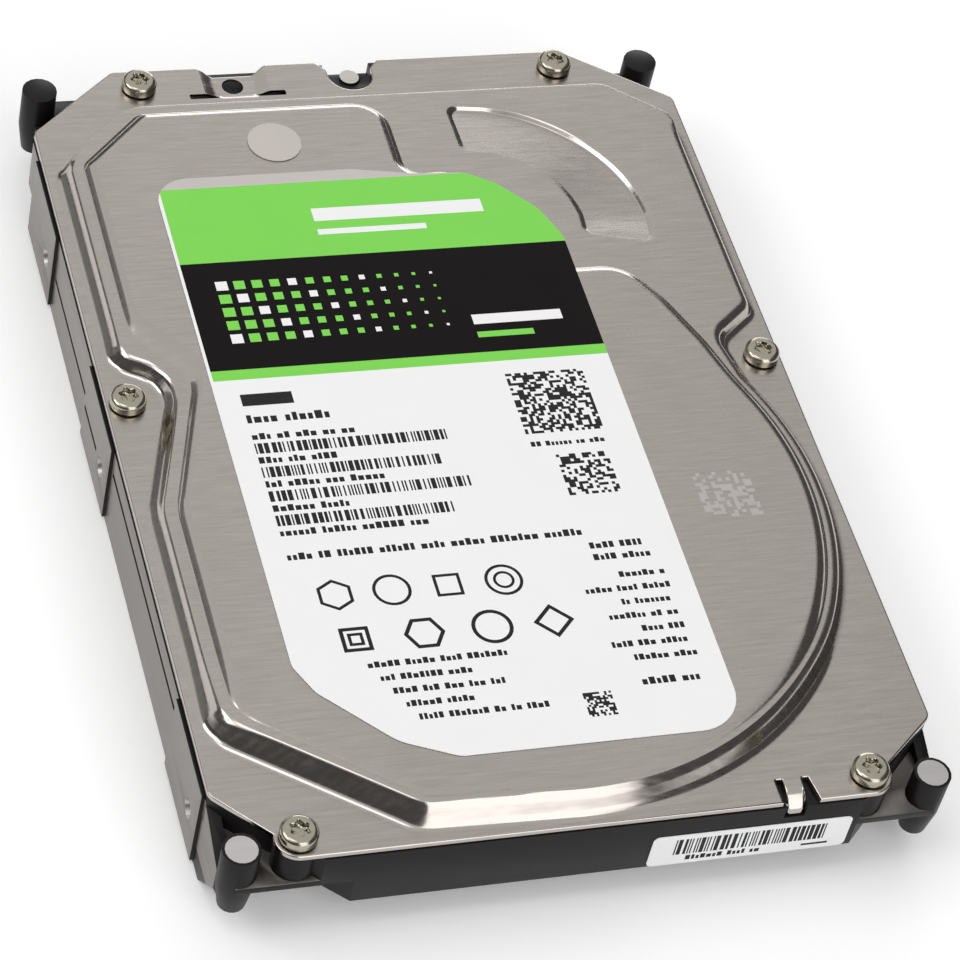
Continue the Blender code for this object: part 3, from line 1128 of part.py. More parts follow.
def make_motor():
    """Motor base in the floor, stator on it, and everything that turns with the hub."""
    flange_top = FLOOR_UNDER - FIT
    flange_low = flange_top - MOTOR_FLANGE
    bore = SHAFT_RADIUS + RUN_GAP
    sleeve = bore + SLEEVE_WALL
    seat = LOWER_PLATTER - STACK_GAP - HUB_FLANGE + 0.5 * MM
    hub_top = UPPER_PLATTER + PLATTER_THICKNESS - 0.1 * MM
    hub_under = hub_top - 1.6 * MM
    sleeve_top = hub_under - RUN_GAP
    spigot = MOTOR_BORE - FIT
    base = turned(
        "motor_base",
        [
            (0, flange_low + 0.9 * MM),
            (bore, flange_low + 0.9 * MM),
            (bore, sleeve_top),
            (sleeve, sleeve_top),
            (sleeve, seat),
            (sleeve + 1.8 * MM, seat),
            (sleeve + 1.8 * MM, FLOOR_TOP),
            (spigot, FLOOR_TOP - 0.2 * MM),
            (spigot, flange_top),
            (MOTOR_FLANGE_RADIUS, flange_top),
            (MOTOR_FLANGE_RADIUS, flange_low),
            (0, flange_low),
        ],
        False,
        28,
        SPINDLE,
    )
    finish(base, *ALUMINIUM)
    hub_radius = PLATTER_BORE - STACK_GAP
    ring_outer = hub_radius - HUB_WALL - STACK_GAP
    tooth_tip = ring_outer - MAGNET_RING - 0.5 * MM
    core = sleeve + FIT
    teeth = []
    for index in range(9):
        middle = 40 * index
        teeth += arc((0, 0), core + 1.6 * MM, middle - 20, middle - 8, 1)
        teeth += arc((0, 0), tooth_tip - 0.8 * MM, middle - 6, middle - 6.1, 1)[:1]
        teeth += arc((0, 0), tooth_tip, middle - 15, middle + 15, 2)
        teeth += arc((0, 0), tooth_tip - 0.8 * MM, middle + 6, middle + 6.1, 1)[:1]
        teeth += arc((0, 0), core + 1.6 * MM, middle + 8, middle + 14, 1)
    eye = circle((0, 0), core, 18)
    stator_low = seat + FIT
    stator = prism("motor_stator", [teeth, eye], stator_low, stator_low + STATOR_HEIGHT)
    stator.location = (SPINDLE.x, SPINDLE.y, 0)
    finish(stator, *COPPER)
    spindle = axis_empty("spindle_axis", SPINDLE)
    top = UPPER_PLATTER + PLATTER_THICKNESS + STACK_GAP
    shaft = turned(
        "spindle_shaft",
        [
            (0, hub_top + 0.6 * MM),
            (SHAFT_RADIUS, hub_top + 0.6 * MM),
            (SHAFT_RADIUS, flange_low + 1.3 * MM),
            (0, flange_low + 1.3 * MM),
        ],
        False,
        24,
        parent=spindle,
    )
    finish(shaft, *BRIGHT)
    flange_up = LOWER_PLATTER - STACK_GAP
    inside = hub_radius - HUB_WALL
    eye = SHAFT_RADIUS + STACK_GAP
    hub = turned(
        "spindle_hub",
        [
            (hub_radius, hub_top),
            (hub_radius, flange_up),
            (HUB_FLANGE_RADIUS, flange_up),
            (HUB_FLANGE_RADIUS, flange_up - HUB_FLANGE),
            (inside, flange_up - HUB_FLANGE),
            (inside, hub_under),
            (eye, hub_under),
            (eye, hub_top),
        ],
        True,
        32,
        parent=spindle,
    )
    screw_at = [polar(CLAMP_SCREW_CIRCLE, math.radians(90 + 120 * index)) for index in range(3)]
    tap = BOARD_SHANK + STACK_GAP
    low = hub_under - CUT_PAST
    high = hub_top + CUT_PAST
    taps = [cylinder("tap", spot, tap, low, high, 12) for spot in screw_at]
    cut(hub, gathered("hub_tap_cuts", taps, spindle))
    finish(flattened(hub), *ALUMINIUM)
    magnet_low = flange_up - HUB_FLANGE + 0.4 * MM
    magnet_top = hub_under - STACK_GAP
    inner = ring_outer - MAGNET_RING
    ring = tube_profile(ring_outer, inner, magnet_low, magnet_top)
    finish(turned("rotor_magnet", ring, True, 28, parent=spindle), *FERRITE)
    for name, low in (("lower_platter", LOWER_PLATTER), ("upper_platter", UPPER_PLATTER)):
        disc = tube_profile(PLATTER_RADIUS, PLATTER_BORE, low, low + PLATTER_THICKNESS)
        finish(turned(name, disc, True, DISC_STEPS, parent=spindle), *MIRROR)
    low = LOWER_PLATTER + PLATTER_THICKNESS + STACK_GAP
    high = UPPER_PLATTER - STACK_GAP
    collar = tube_profile(HUB_FLANGE_RADIUS, PLATTER_BORE, low, high)
    finish(turned("platter_spacer", collar, True, 28, parent=spindle), *ALUMINIUM)
    clamp_top = top + CLAMP_THICKNESS
    dish = [
        (CLAMP_RADIUS, clamp_top - 0.3 * MM),
        (CLAMP_RADIUS, top),
        (CLAMP_HOLE, top),
        (CLAMP_HOLE, clamp_top),
        (CLAMP_RADIUS - 1 * MM, clamp_top),
    ]
    clamp = turned("disc_clamp", dish, True, 28, parent=spindle)
    low = top - CUT_PAST
    high = clamp_top + CUT_PAST
    taps = [cylinder("tap", spot, tap, low, high, 12) for spot in screw_at]
    cut(clamp, gathered("clamp_hole_cuts", taps, spindle))
    finish(flattened(clamp), *PLATED)
    first = None
    for index, spot in enumerate(screw_at):
        name = f"clamp_screw_{index + 1}"
        if first is None:
            low = clamp_top + STACK_GAP
            end = hub_under + 0.3 * MM
            sizes = (CLAMP_SCREW_RADIUS, low, CLAMP_SCREW_HEAD, BOARD_SHANK, end, 0.9 * MM)
            first = make_screw(name, spot, *sizes, 12)
            first.parent = spindle
            finish(first, *PLATED)
        else:
            copy_screw(first, name, spot, spindle)


def along_arm(half):
    """Outline from points (along, half width) on one side of the parked arm, mirrored."""
    ahead = Vector((math.cos(PARK_ANGLE), math.sin(PARK_ANGLE)))
    across = Vector((-ahead.y, ahead.x))
    right = [ahead * along - across * width for along, width in half]
    left = [ahead * along + across * width for along, width in reversed(half)]
    return right + left


def make_actuator():
    """Block with three arms and a coil frame, its bearing, coil and four head suspensions."""
    axis = axis_empty("actuator_axis", PIVOT)
    block = cylinder("actuator_block", (0, 0), BLOCK_RADIUS, BLOCK_LOW, BLOCK_TOP, 24, axis)
    half_plan = [(0, ARM_ROOT), (ARM_SHOULDER_AT, ARM_SHOULDER), (ARM_LENGTH, ARM_TIP)]
    plan = along_arm(half_plan)
    window = along_arm([(WINDOW_FIRST, 2.6 * MM), (WINDOW_LAST, 1.5 * MM)])
    for level, name in ((-1, "low"), (0, "middle"), (1, "high")):
        low = MIDDLE_ARM + level * ARM_PITCH - ARM_THICKNESS / 2
        join(block, prism(f"arm_{name}", [plan, window], low, low + ARM_THICKNESS, axis))
    first = COIL_ANGLE - COIL_HALF_ANGLE
    last = COIL_ANGLE + COIL_HALF_ANGLE
    coil_plan = sector(COIL_INNER, COIL_OUTER, first, last, 10)
    rim = grown(coil_plan, FIT + COIL_FRAME)
    coil_low = COIL_LOW + EASE
    coil_high = COIL_LOW + COIL_THICKNESS - EASE
    hole = grown(coil_plan, FIT)
    frame = prism("coil_frame", [rim, hole], COIL_LOW, COIL_LOW + COIL_THICKNESS, axis)
    neck_end = COIL_INNER - FIT - COIL_FRAME / 2
    neck_plan = sector(BLOCK_RADIUS - 1.2 * MM, neck_end, first + 4, last - 4, 6)
    neck = prism("coil_neck", [neck_plan], coil_low, coil_high, axis)
    join(block, neck, frame)
    bore = BEARING_RADIUS + STACK_GAP
    low = BLOCK_LOW - CUT_PAST
    high = BLOCK_TOP + CUT_PAST
    cut(block, cylinder("bearing_cut", (0, 0), bore, low, high, 24, axis, True))
    finish(flattened(block), *ALUMINIUM)
    inner = BEARING_RADIUS - BEARING_WALL
    tube = tube_profile(BEARING_RADIUS, inner, BLOCK_LOW + EASE, BLOCK_TOP - EASE)
    finish(turned("pivot_bearing", tube, True, 24, parent=axis), *STEEL)
    band = math.degrees(COIL_BAND / ((COIL_INNER + COIL_OUTER) / 2))
    eye = sector(COIL_INNER + COIL_BAND, COIL_OUTER - COIL_BAND, first + band, last - band, 4)
    coil = prism("voice_coil", [coil_plan, eye], coil_low, coil_high, axis)
    finish(coil, *COPPER)
    half_leaf = [(ARM_LENGTH - LEAF_OVERLAP, 2.4 * MM), (ARM_LENGTH + LEAF_TAPER, 2.2 * MM)]
    shape = along_arm(half_leaf + [(ARM_REACH + LEAF_TIP, 0.5 * MM)])
    pad = along_arm([(ARM_REACH - 0.6 * MM, 0.5 * MM), (ARM_REACH + 0.6 * MM, 0.5 * MM)])
    sides = ((-1, 1), (0, -1), (0, 1), (1, -1))
    for index, (level, face) in enumerate(sides):
        start = MIDDLE_ARM + level * ARM_PITCH + face * (ARM_THICKNESS / 2 + SKIN_GAP)
        end = start + face * SUSPENSION_THICKNESS
        name = f"head_suspension_{index + 1}"
        leaf = prism(name, [shape], min(start, end), max(start, end), axis)
        ends = sorted((end - face * EASE, end + face * SLIDER_HEIGHT))
        join(leaf, prism(f"slider_{index + 1}", [pad], ends[0], ends[1], axis))
        finish(leaf, *STEEL)


def make_voice_motor():
    """Fixed pivot shaft, magnet plates, magnets, posts and crash-stop sleeves."""
    low = FLOOR_TOP + FIT
    radius = BEARING_RADIUS - BEARING_WALL - RUN_GAP
    foot = BLOCK_LOW - FIT
    shaft = turned(
        "pivot_shaft",
        [
            (0, BLOCK_TOP + 0.5 * MM),
            (radius, BLOCK_TOP + 0.5 * MM),
            (radius, foot),
            (radius + 1.6 * MM, foot),
            (radius + 1.6 * MM, low),
            (0, low),
        ],
        False,
        24,
        PIVOT,
    )
    finish(shaft, *BRIGHT)
    first = POST_ANGLE_LOW - PLATE_PAST
    last = POST_ANGLE_HIGH + PLATE_PAST
    plate_top = STEP_TOP - CRESCENT_DEPTH - SHEET - FIT
    plate_low = plate_top - PLATE_THICKNESS
    outline = sector(VCM_INNER, VCM_OUTER, first, last, 14, PIVOT)
    finish(prism("lower_magnet_plate", [outline], low, low + PLATE_THICKNESS), *PLATED)
    finish(prism("upper_magnet_plate", [outline], plate_low, plate_top), *PLATED)
    stop_radius = MAGNET_POST_RADIUS + STACK_GAP + STOP_WALL
    ring = VCM_OUTER - POST_FROM_OUTER
    clear = math.degrees(math.asin((stop_radius + FIT) / ring)) + 2
    magnet_ends = (POST_ANGLE_LOW + clear, POST_ANGLE_HIGH - clear)
    magnet = sector(VCM_INNER + 1 * MM, VCM_OUTER - 1 * MM, *magnet_ends, 12, PIVOT)
    magnet_low = low + PLATE_THICKNESS + FIT
    finish(prism("lower_magnet", [magnet], magnet_low, magnet_low + MAGNET_THICKNESS), *PLATED)
    magnet_top = plate_low - FIT
    finish(prism("upper_magnet", [magnet], magnet_top - MAGNET_THICKNESS, magnet_top), *PLATED)
    for name, angle in (("outer", POST_ANGLE_LOW), ("inner", POST_ANGLE_HIGH)):
        centre = polar(ring, math.radians(angle), PIVOT)
        full = "magnet_post_" + name
        post = cylinder(full, centre, MAGNET_POST_RADIUS, magnet_low, magnet_top, 20)
        finish(post, *PLATED)
        hole = MAGNET_POST_RADIUS + STACK_GAP
        sleeve_low = COIL_LOW - 0.4 * MM
        sleeve_top = COIL_LOW + COIL_THICKNESS + 0.4 * MM
        tube = tube_profile(stop_radius, hole, sleeve_low, sleeve_top)
        finish(turned("crash_stop_" + name, tube, True, 20, centre), *RUBBER)


def ramp_screw_place():
    angle = PARK_ANGLE - math.radians(RAMP_SCREW_ANGLE)
    return polar(RAMP_RADIUS + RAMP_DEPTH, angle, PIVOT)


def ramp_room():
    """Space that the casting leaves for the load ramp."""
    first = math.degrees(PARK_ANGLE) - RAMP_SCREW_ANGLE - 3.2
    last = math.degrees(PARK_ANGLE) + RAMP_AFTER + 0.5
    outer = RAMP_RADIUS + RAMP_DEPTH + max(RAMP_SPINE, RAMP_FOOT_RADIUS) + FIT
    outline = sector(RAMP_RADIUS, outer, first, last, 8, PIVOT)
    return prism("pocket", [outline], RAMP_FOOT - FIT / 2, RIM + CUT_PAST)


def bracket_box(gap):
    """Ends along X and along Y of the cable bracket's plug, widened by a gap."""
    right = PIVOT.x - BRACKET_LEFT
    near = PIVOT.y + BRACKET_BACK
    x_ends = (right - BRACKET_LENGTH - gap, right + gap)
    return x_ends, (near - gap, near + BRACKET_WIDTH + gap)


def make_fittings():
    """Load ramp, latch, filters, cable bracket and cable."""
    first = math.degrees(PARK_ANGLE) - RAMP_BEFORE
    last = math.degrees(PARK_ANGLE) + RAMP_AFTER
    reach = RAMP_RADIUS + RAMP_DEPTH
    spine = sector(reach - 0.4 * MM, reach + RAMP_SPINE, first, last, 4, PIVOT)
    top = UPPER_PLATTER + (PLATTER_THICKNESS + RAMP_FIN) / 2 + EASE
    ramp = prism("load_ramp", [spine], RAMP_FOOT + 0.2 * MM, top)
    fin_plan = sector(RAMP_RADIUS, reach, first + 0.4, last - 0.4, 5, PIVOT)
    fins = []
    for low in (LOWER_PLATTER, UPPER_PLATTER):
        middle = low + PLATTER_THICKNESS / 2
        fins.append(prism("fin", [fin_plan], middle - RAMP_FIN / 2, middle + RAMP_FIN / 2))
    join(ramp, gathered("ramp_fins", fins))
    centre = ramp_screw_place()
    foot = sector(reach - 1.2 * MM, reach + 1.3 * MM, first - 3, first + 2, 3, PIVOT)
    join(ramp, prism("ramp_foot", [foot], RAMP_FOOT + 0.1 * MM, RAMP_FOOT + 1.1 * MM))
    join(ramp, cylinder("ramp_eye", centre, RAMP_FOOT_RADIUS, RAMP_FOOT, RAMP_FOOT + 1.2 * MM, 20))
    low = RAMP_FOOT - CUT_PAST
    high = RAMP_FOOT + 3 * MM
    hole = BOARD_SHANK + FIT
    cut(ramp, cylinder("ramp_eye_cut", centre, hole, low, high, 12, cutter=True))
    finish(flattened(ramp), *PALE_PLASTIC)
    low = RAMP_FOOT + 1.2 * MM + STACK_GAP
    sizes = (1.9 * MM, low, 0.9 * MM, BOARD_SHANK, FLOOR_TOP + 0.2 * MM, 0.9 * MM)
    screw = make_screw("ramp_screw", centre, *sizes, 12)
    finish(screw, *PLATED)
    latch_radius = COIL_OUTER + FIT + COIL_FRAME + LATCH_GAP
    latch_at = polar(latch_radius, math.radians(LATCH_ANGLE), PIVOT)
    axis = axis_empty("latch_axis", latch_at)
    pin_top = COIL_LOW + COIL_THICKNESS + 1.4 * MM
    low = FLOOR_TOP + FIT
    pin = turned(
        "latch_pin",
        [
            (0, pin_top),
            (LATCH_PIN_RADIUS, pin_top),
            (LATCH_PIN_RADIUS, COIL_LOW - FIT),
            (LATCH_PIN_RADIUS + 0.8 * MM, COIL_LOW - FIT),
            (LATCH_PIN_RADIUS + 0.8 * MM, low),
            (0, low),
        ],
        False,
        18,
        latch_at,
    )
    finish(pin, *BRIGHT)
    lever = rounded(
        [
            (-1.8 * MM, -LATCH_TAIL, 1 * MM),
            (1.8 * MM, -LATCH_TAIL, 1 * MM),
            (1.9 * MM, 0, 2 * MM),
            (0.8 * MM, LATCH_LENGTH, 0.5 * MM),
            (-1.0 * MM, LATCH_LENGTH, 0.5 * MM),
            (-1.9 * MM, 0, 2 * MM),
        ]
    )
    eye = circle((0, 0), LATCH_PIN_RADIUS + FIT, 14)
    latch = prism("actuator_latch", [lever, eye], COIL_LOW, COIL_LOW + LATCH_THICKNESS, axis)
    finish(latch, *BLACK_PLASTIC)
    slot = bracket_box(0)
    bracket = box_between("flex_bracket", slot[0], slot[1], FLOOR_UNDER + FIT, COIL_LOW + 1 * MM)
    wide = (slot[0][0] - 1.2 * MM, slot[0][1] + 1.2 * MM)
    deep = (slot[1][0] - 1.4 * MM, slot[1][1] + 1.4 * MM)
    flange_low = FLOOR_TOP + FIT
    flange_top = flange_low + BRACKET_FLANGE
    join(bracket, box_between("bracket_flange", wide, deep, flange_low, flange_top))
    finish(bracket, *BLACK_PLASTIC)
    cable_low = flange_top + FIT
    start = polar(BLOCK_RADIUS + FIT + CABLE_THICKNESS, math.radians(125), PIVOT)
    end = Vector((slot[0][1] + FIT, (slot[1][0] + slot[1][1]) / 2))
    pull = [start, start + Vector((-2.5 * MM, 6 * MM)), end + Vector((5 * MM, 1 * MM)), end]
    path = []
    for step in range(11):
        t = step / 10
        weights = ((1 - t) ** 3, 3 * t * (1 - t) ** 2, 3 * t * t * (1 - t), t**3)
        path.append(sum((point * weight for point, weight in zip(pull, weights)), Vector((0, 0))))
    left = []
    right = []
    for index, point in enumerate(path):
        ahead = (path[min(index + 1, 10)] - path[max(index - 1, 0)]).normalized()
        across = Vector((-ahead.y, ahead.x)) * CABLE_THICKNESS / 2
        left.append(point + across)
        right.append(point - across)
    cable = prism("flex_cable", [right + left[::-1]], cable_low, cable_low + CABLE_HEIGHT)
    finish(cable, *FILM)
    low = FLOOR_TOP + FIT
    half = FILTER_LENGTH / 2
    x = wide[0] - FILTER_GAP - half
    y = BAY_Y - BAY_CORNER - FILTER_WIDTH / 2
    filter_x = (x - half, x + half)
    filter_y = (y - FILTER_WIDTH / 2, y + FILTER_WIDTH / 2)
    breather = box_between("breather_filter", filter_x, filter_y, low, low + FILTER_HEIGHT)
    finish(breather, *CLOTH)
    wall = BODY_X - BAY_WALL
    right = wall - FILTER_WALL_GAP
    near = PIVOT.y + FILTER_GAP
    filter_x = (right - SIDE_FILTER_WIDTH, right)
    filter_y = (near, near + SIDE_FILTER_LENGTH)
    high = low + SIDE_FILTER_HEIGHT
    recirculation = box_between("recirculation_filter", filter_x, filter_y, low, high)
    finish(recirculation, *CLOTH)


def main():
    """Builds every piece."""
    global parts, cutters
    for thing in list(bpy.data.objects):
        bpy.data.objects.remove(thing)
    parts = bpy.data.collections.new("hard_disk_drive")
    cutters = bpy.data.collections.new("hard_disk_drive_cutters")
    bpy.context.scene.collection.children.link(parts)
    bpy.context.scene.collection.children.link(cutters)
    finish(flattened(make_base()), *BLACK_COAT)
    finish(flattened(make_cover()), *STEEL)
    make_cover_screws()
    make_labels()
    make_gasket()
    make_board()
    make_motor()
    make_actuator()
    make_voice_motor()
    make_fittings()


main()
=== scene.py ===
"""Looks of a 3.5-inch hard disk drive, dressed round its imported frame."""

import logging
import math
import random
from dataclasses import dataclass, field
from enum import Enum
from typing import Callable

import bmesh
import bpy
from mathutils import Matrix, Vector
from mathutils.geometry import delaunay_2d_cdt


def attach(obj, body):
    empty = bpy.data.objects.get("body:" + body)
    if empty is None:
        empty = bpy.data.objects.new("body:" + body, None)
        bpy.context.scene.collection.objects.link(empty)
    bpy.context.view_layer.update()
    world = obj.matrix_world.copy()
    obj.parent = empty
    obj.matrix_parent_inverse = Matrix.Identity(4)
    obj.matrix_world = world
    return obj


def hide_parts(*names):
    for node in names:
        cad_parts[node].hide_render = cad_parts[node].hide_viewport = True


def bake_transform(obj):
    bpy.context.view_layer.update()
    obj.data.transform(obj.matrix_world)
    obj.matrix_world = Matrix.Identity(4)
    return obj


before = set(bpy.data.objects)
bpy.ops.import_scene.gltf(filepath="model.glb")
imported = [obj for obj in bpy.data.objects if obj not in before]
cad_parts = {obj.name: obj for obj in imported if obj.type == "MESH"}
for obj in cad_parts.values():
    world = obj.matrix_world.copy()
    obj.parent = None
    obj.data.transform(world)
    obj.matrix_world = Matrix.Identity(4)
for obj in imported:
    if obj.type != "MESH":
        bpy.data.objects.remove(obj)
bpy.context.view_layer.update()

log = logging.getLogger("drive")

MM = 0.001
PHOTO_SIDE = 960  # pixels on each side of the picture
Points = list[Vector]
Colour = tuple[float, float, float]


class Body(Enum):
    """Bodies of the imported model."""

    CASE = "case"
    SPINDLE = "spindle"
    ACTUATOR = "actuator"
    LATCH = "latch"


class Slot(Enum):
    """Material slots of the record."""

    COAT = "black_coat"
    COVER = "cover_steel"
    BRIGHT = "bright_steel"
    PRINT = "label_print"
    COPPER = "copper"
    BOARD = "board"
    FILM = "film"


class Run(Enum):
    """Direction of the fine lines that a tool leaves on metal."""

    ACROSS = "x"
    LENGTHWISE = "y"
    ROUND = "ring"


# Plan shapes


def polar(radius: float, angle: float, centre: Vector) -> Vector:
    """Point at an angle in radians round a centre."""
    return Vector((centre[0] + radius * math.cos(angle), centre[1] + radius * math.sin(angle)))


def arc(centre: Vector, radius: float, first: float, last: float, steps: int) -> Points:
    """Points along an arc.

    Args:
        centre: Middle of the arc.
        radius: Its radius.
        first: First angle in degrees.
        last: Last angle in degrees.
        steps: Number of straight pieces.

    Returns:
        The points, both ends included.
    """
    turn = math.radians(last - first) / steps
    return [polar(radius, math.radians(first) + turn * step, centre) for step in range(steps + 1)]


def rounded(corners: list[tuple[float, float, float]], steps: int = 9) -> Points:
    """Outline with each corner turned into an arc.

    Args:
        corners: Places in millimetres with the radius at each.
        steps: Straight pieces in each arc.

    Returns:
        The outline in metres.
    """
    points: Points = []
    for index, (x, y, radius) in enumerate(corners):
        here = Vector((x, y))
        before = Vector(corners[index - 1][:2]) - here
        after = Vector(corners[(index + 1) % len(corners)][:2]) - here
        half = before.angle(after) / 2
        if radius <= 0 or half > math.radians(88):
            points.append(here * MM)
            continue
        reach = min(radius / math.tan(half), 0.48 * before.length, 0.48 * after.length)
        used = reach * math.tan(half)
        middle = (before.normalized() + after.normalized()).normalized()
        centre = here + middle * (used / math.sin(half))
        start = here + before.normalized() * reach - centre
        end = here + after.normalized() * reach - centre
        first = math.atan2(start.y, start.x)
        turn = (math.atan2(end.y, end.x) - first + math.pi) % math.tau - math.pi
        for step in range(steps + 1):
            points.append(polar(used, first + turn * step / steps, centre) * MM)
    return points


def on_arc(centre: tuple, radius: float, first: float, last: float, steps: int) -> list[tuple]:
    """Sharp corners along an arc in millimetres, for use in an outline of corners."""
    return [(point.x, point.y, 0.0) for point in arc(Vector(centre), radius, first, last, steps)]


def s_profile(run: float, rise: float, foot: float, crest: float, steps: int = 6) -> list[tuple]:
    """Rows of a pressed slope with a round foot and a round crest.

    Args:
        run: Width of the slope in plan, between its sharp corners.
        rise: Height of the slope.
        foot: Radius of the first bend.
        crest: Radius of the second bend.
        steps: Rows in each bend.

    Returns:
        Pairs of inward step and upward step from row to row.
    """
    angle = math.atan2(rise, run)
    start, end = -foot * math.tan(angle / 2), run + crest * math.tan(angle / 2)
    turns = [angle * step / steps for step in range(steps + 1)]
    rows = [(start + foot * math.sin(t), foot * (1 - math.cos(t))) for t in turns]
    turns.reverse()
    rows += [(end - crest * math.sin(t), rise - crest * (1 - math.cos(t))) for t in turns]
    return [(b[0] - a[0], b[1] - a[1]) for a, b in zip(rows, rows[1:])]


def closer(points: Points, step: float, test: Callable[[Vector], bool]) -> Points:
    """Splits the straight pieces of an outline where a test of their middle asks for it.

    Args:
        points: The outline.
        step: Longest piece that is left there.
        test: Tells of a point whether the outline is split there.

    Returns:
        The outline with its added points.
    """
    result: Points = []
    for index, point in enumerate(points):
        after = points[(index + 1) % len(points)]
        count = 1
        if test((point + after) / 2):
            count = max(1, math.ceil((after - point).length / step))
        result += [point.lerp(after, part / count) for part in range(count)]
    return result


def ramp(value: float, start: float, end: float) -> float:
    """Smooth rise from 0 at start to 1 at end."""
    share = min(1.0, max(0.0, (value - start) / (end - start)))
    return share * share * (3 - 2 * share)


# Modelling in edit mode


def deselect() -> None:
    """Leaves edit mode and clears the selection."""
    if bpy.context.mode != "OBJECT":
        bpy.ops.object.mode_set(mode="OBJECT")
    bpy.ops.object.select_all(action="DESELECT")


def edit(piece: bpy.types.Object) -> None:
    """Opens one piece in edit mode with nothing selected."""
    deselect()
    piece.select_set(True)
    bpy.context.view_layer.objects.active = piece
    bpy.ops.object.mode_set(mode="EDIT")
    bpy.ops.mesh.select_all(action="DESELECT")


def done(piece: bpy.types.Object, name: str) -> bpy.types.Object:
    """Closes edit mode, puts the place into the mesh and names the piece."""
    deselect()
    piece.select_set(True)
    bpy.context.view_layer.objects.active = piece
    bpy.ops.object.transform_apply(location=True, rotation=True, scale=True)
    piece.name = name
    piece.data.name = name
    deselect()
    return piece


def pick(kind: str, test: Callable) -> int:
    """Selects faces, edges or vertices of the piece in edit mode.

    Args:
        kind: "FACE", "EDGE" or "VERT".
        test: Tells of one element whether it is wanted.

    Returns:
        The number selected.
    """
    bpy.ops.mesh.select_mode(type=kind)
    bpy.ops.mesh.select_all(action="DESELECT")
    mesh = bpy.context.edit_object.data
    shape = bmesh.from_edit_mesh(mesh)
    found = 0
    for element in {"FACE": shape.faces, "EDGE": shape.edges, "VERT": shape.verts}[kind]:
        if test(element):
            element.select_set(True)
            found += 1
    shape.select_flush_mode()
    bmesh.update_edit_mesh(mesh)
    return found


def ring(points: Points, height: float, filled: bool = True) -> None:
    """Adds a circle to the piece in edit mode and moves its corners onto an outline.

    Args:
        points: The outline, anticlockwise.
        height: Its height.
        filled: Whether the outline gets a face.
    """
    fill = "NGON" if filled else "NOTHING"
    bpy.ops.mesh.primitive_circle_add(vertices=len(points), radius=0.01, fill_type=fill)
    mesh = bpy.context.edit_object.data
    shape = bmesh.from_edit_mesh(mesh)
    corners = [corner for corner in shape.verts if corner.select]
    corners.sort(key=lambda corner: math.atan2(-corner.co.x, corner.co.y) % math.tau)
    for corner, point in zip(corners, points):
        corner.co = (point[0], point[1], height)
    for face in shape.faces:
        if face.select:
            face.normal_update()
            if face.normal.z < 0:
                face.normal_flip()
    bmesh.update_edit_mesh(mesh)


def fill_level(height: float, extra: Points = ()) -> None:
    """Closes the flat area between the open edges at one height with even triangles.

    Args:
        height: Height of the open edges.
        extra: Further corners wanted inside the area.
    """
    mesh = bpy.context.edit_object.data
    shape = bmesh.from_edit_mesh(mesh)
    edges = [e for e in shape.edges if len(e.link_faces) < 2 and at_level(e, height)]
    corners = list({corner: None for edge in edges for corner in edge.verts})
    order = {corner: index for index, corner in enumerate(corners)}
    sides = [tuple(order[corner] for corner in edge.verts) for edge in edges]
    flat = [corner.co.xy.copy() for corner in corners] + [Vector(point) for point in extra]
    places, links, faces, origins, walls, _ = delaunay_2d_cdt(flat, sides, [], 0, 1e-9)
    known = [corners[o[0]] if o and o[0] < len(corners) else None for o in origins]
    walled = {frozenset(link) for link, wall in zip(links, walls) if wall}
    for face in enclosed(faces, walled):
        for index in face:
            if known[index] is None:
                known[index] = shape.verts.new((*places[index], height))
        made = shape.faces.new([known[index] for index in face])
        made.normal_update()
        if made.normal.z < 0:
            made.normal_flip()
    bmesh.update_edit_mesh(mesh)


def at_level(edge: bmesh.types.BMEdge, height: float) -> bool:
    """Whether an edge lies at a height."""
    return all(abs(corner.co.z - height) < 0.001 * MM for corner in edge.verts)


def enclosed(faces: list[list[int]], walls: set[frozenset]) -> list[list[int]]:
    """Faces that an odd number of walls parts from the outside.

    Args:
        faces: Triangles that cover the whole area.
        walls: Pairs of corners joined by a wall.

    Returns:
        The triangles between the walls.
    """
    beside: dict[frozenset, list[int]] = {}
    rims = [[frozenset((f[i - 1], f[i])) for i in range(len(f))] for f in faces]
    for number, rim in enumerate(rims):
        for link in rim:
            beside.setdefault(link, []).append(number)
    kept: dict[int, bool] = {}
    for link, numbers in beside.items():
        if len(numbers) == 1:
            kept.setdefault(numbers[0], link in walls)
    queue = list(kept)
    while queue:
        number = queue.pop()
        for link in rims[number]:
            for other in beside[link]:
                if other not in kept:
                    kept[other] = kept[number] ^ (link in walls)
                    queue.append(other)
    return [face for number, face in enumerate(faces) if kept.get(number)]


def empty_piece(name: str) -> bpy.types.Object:
    """New mesh piece with nothing in it yet, open in edit mode."""
    deselect()
    bpy.ops.mesh.primitive_plane_add(size=1 * MM)
    piece = bpy.context.object
    piece.name = name
    edit(piece)
    bpy.ops.mesh.select_all(action="SELECT")
    bpy.ops.mesh.delete(type="VERT")
    return piece


def inset_rows(rows: list[tuple[float, float]]) -> None:
    """Insets the selected faces row by row, each with its step up or down."""
    for inward, upward in rows:
        bpy.ops.mesh.inset(thickness=inward, depth=upward, use_even_offset=True)


def apply_bevel(piece: bpy.types.Object, width: float, segments: int, angle: float) -> None:
    """Rounds the edges of a piece that are sharper than an angle in degrees."""
    deselect()
    piece.select_set(True)
    bpy.context.view_layer.objects.active = piece
    bevel = piece.modifiers.new("rounding", "BEVEL")
    bevel.width = width
    bevel.segments = segments
    bevel.limit_method = "ANGLE"
    bevel.angle_limit = math.radians(angle)
    bevel.use_clamp_overlap = True
    bpy.ops.object.modifier_apply(modifier=bevel.name)
    deselect()


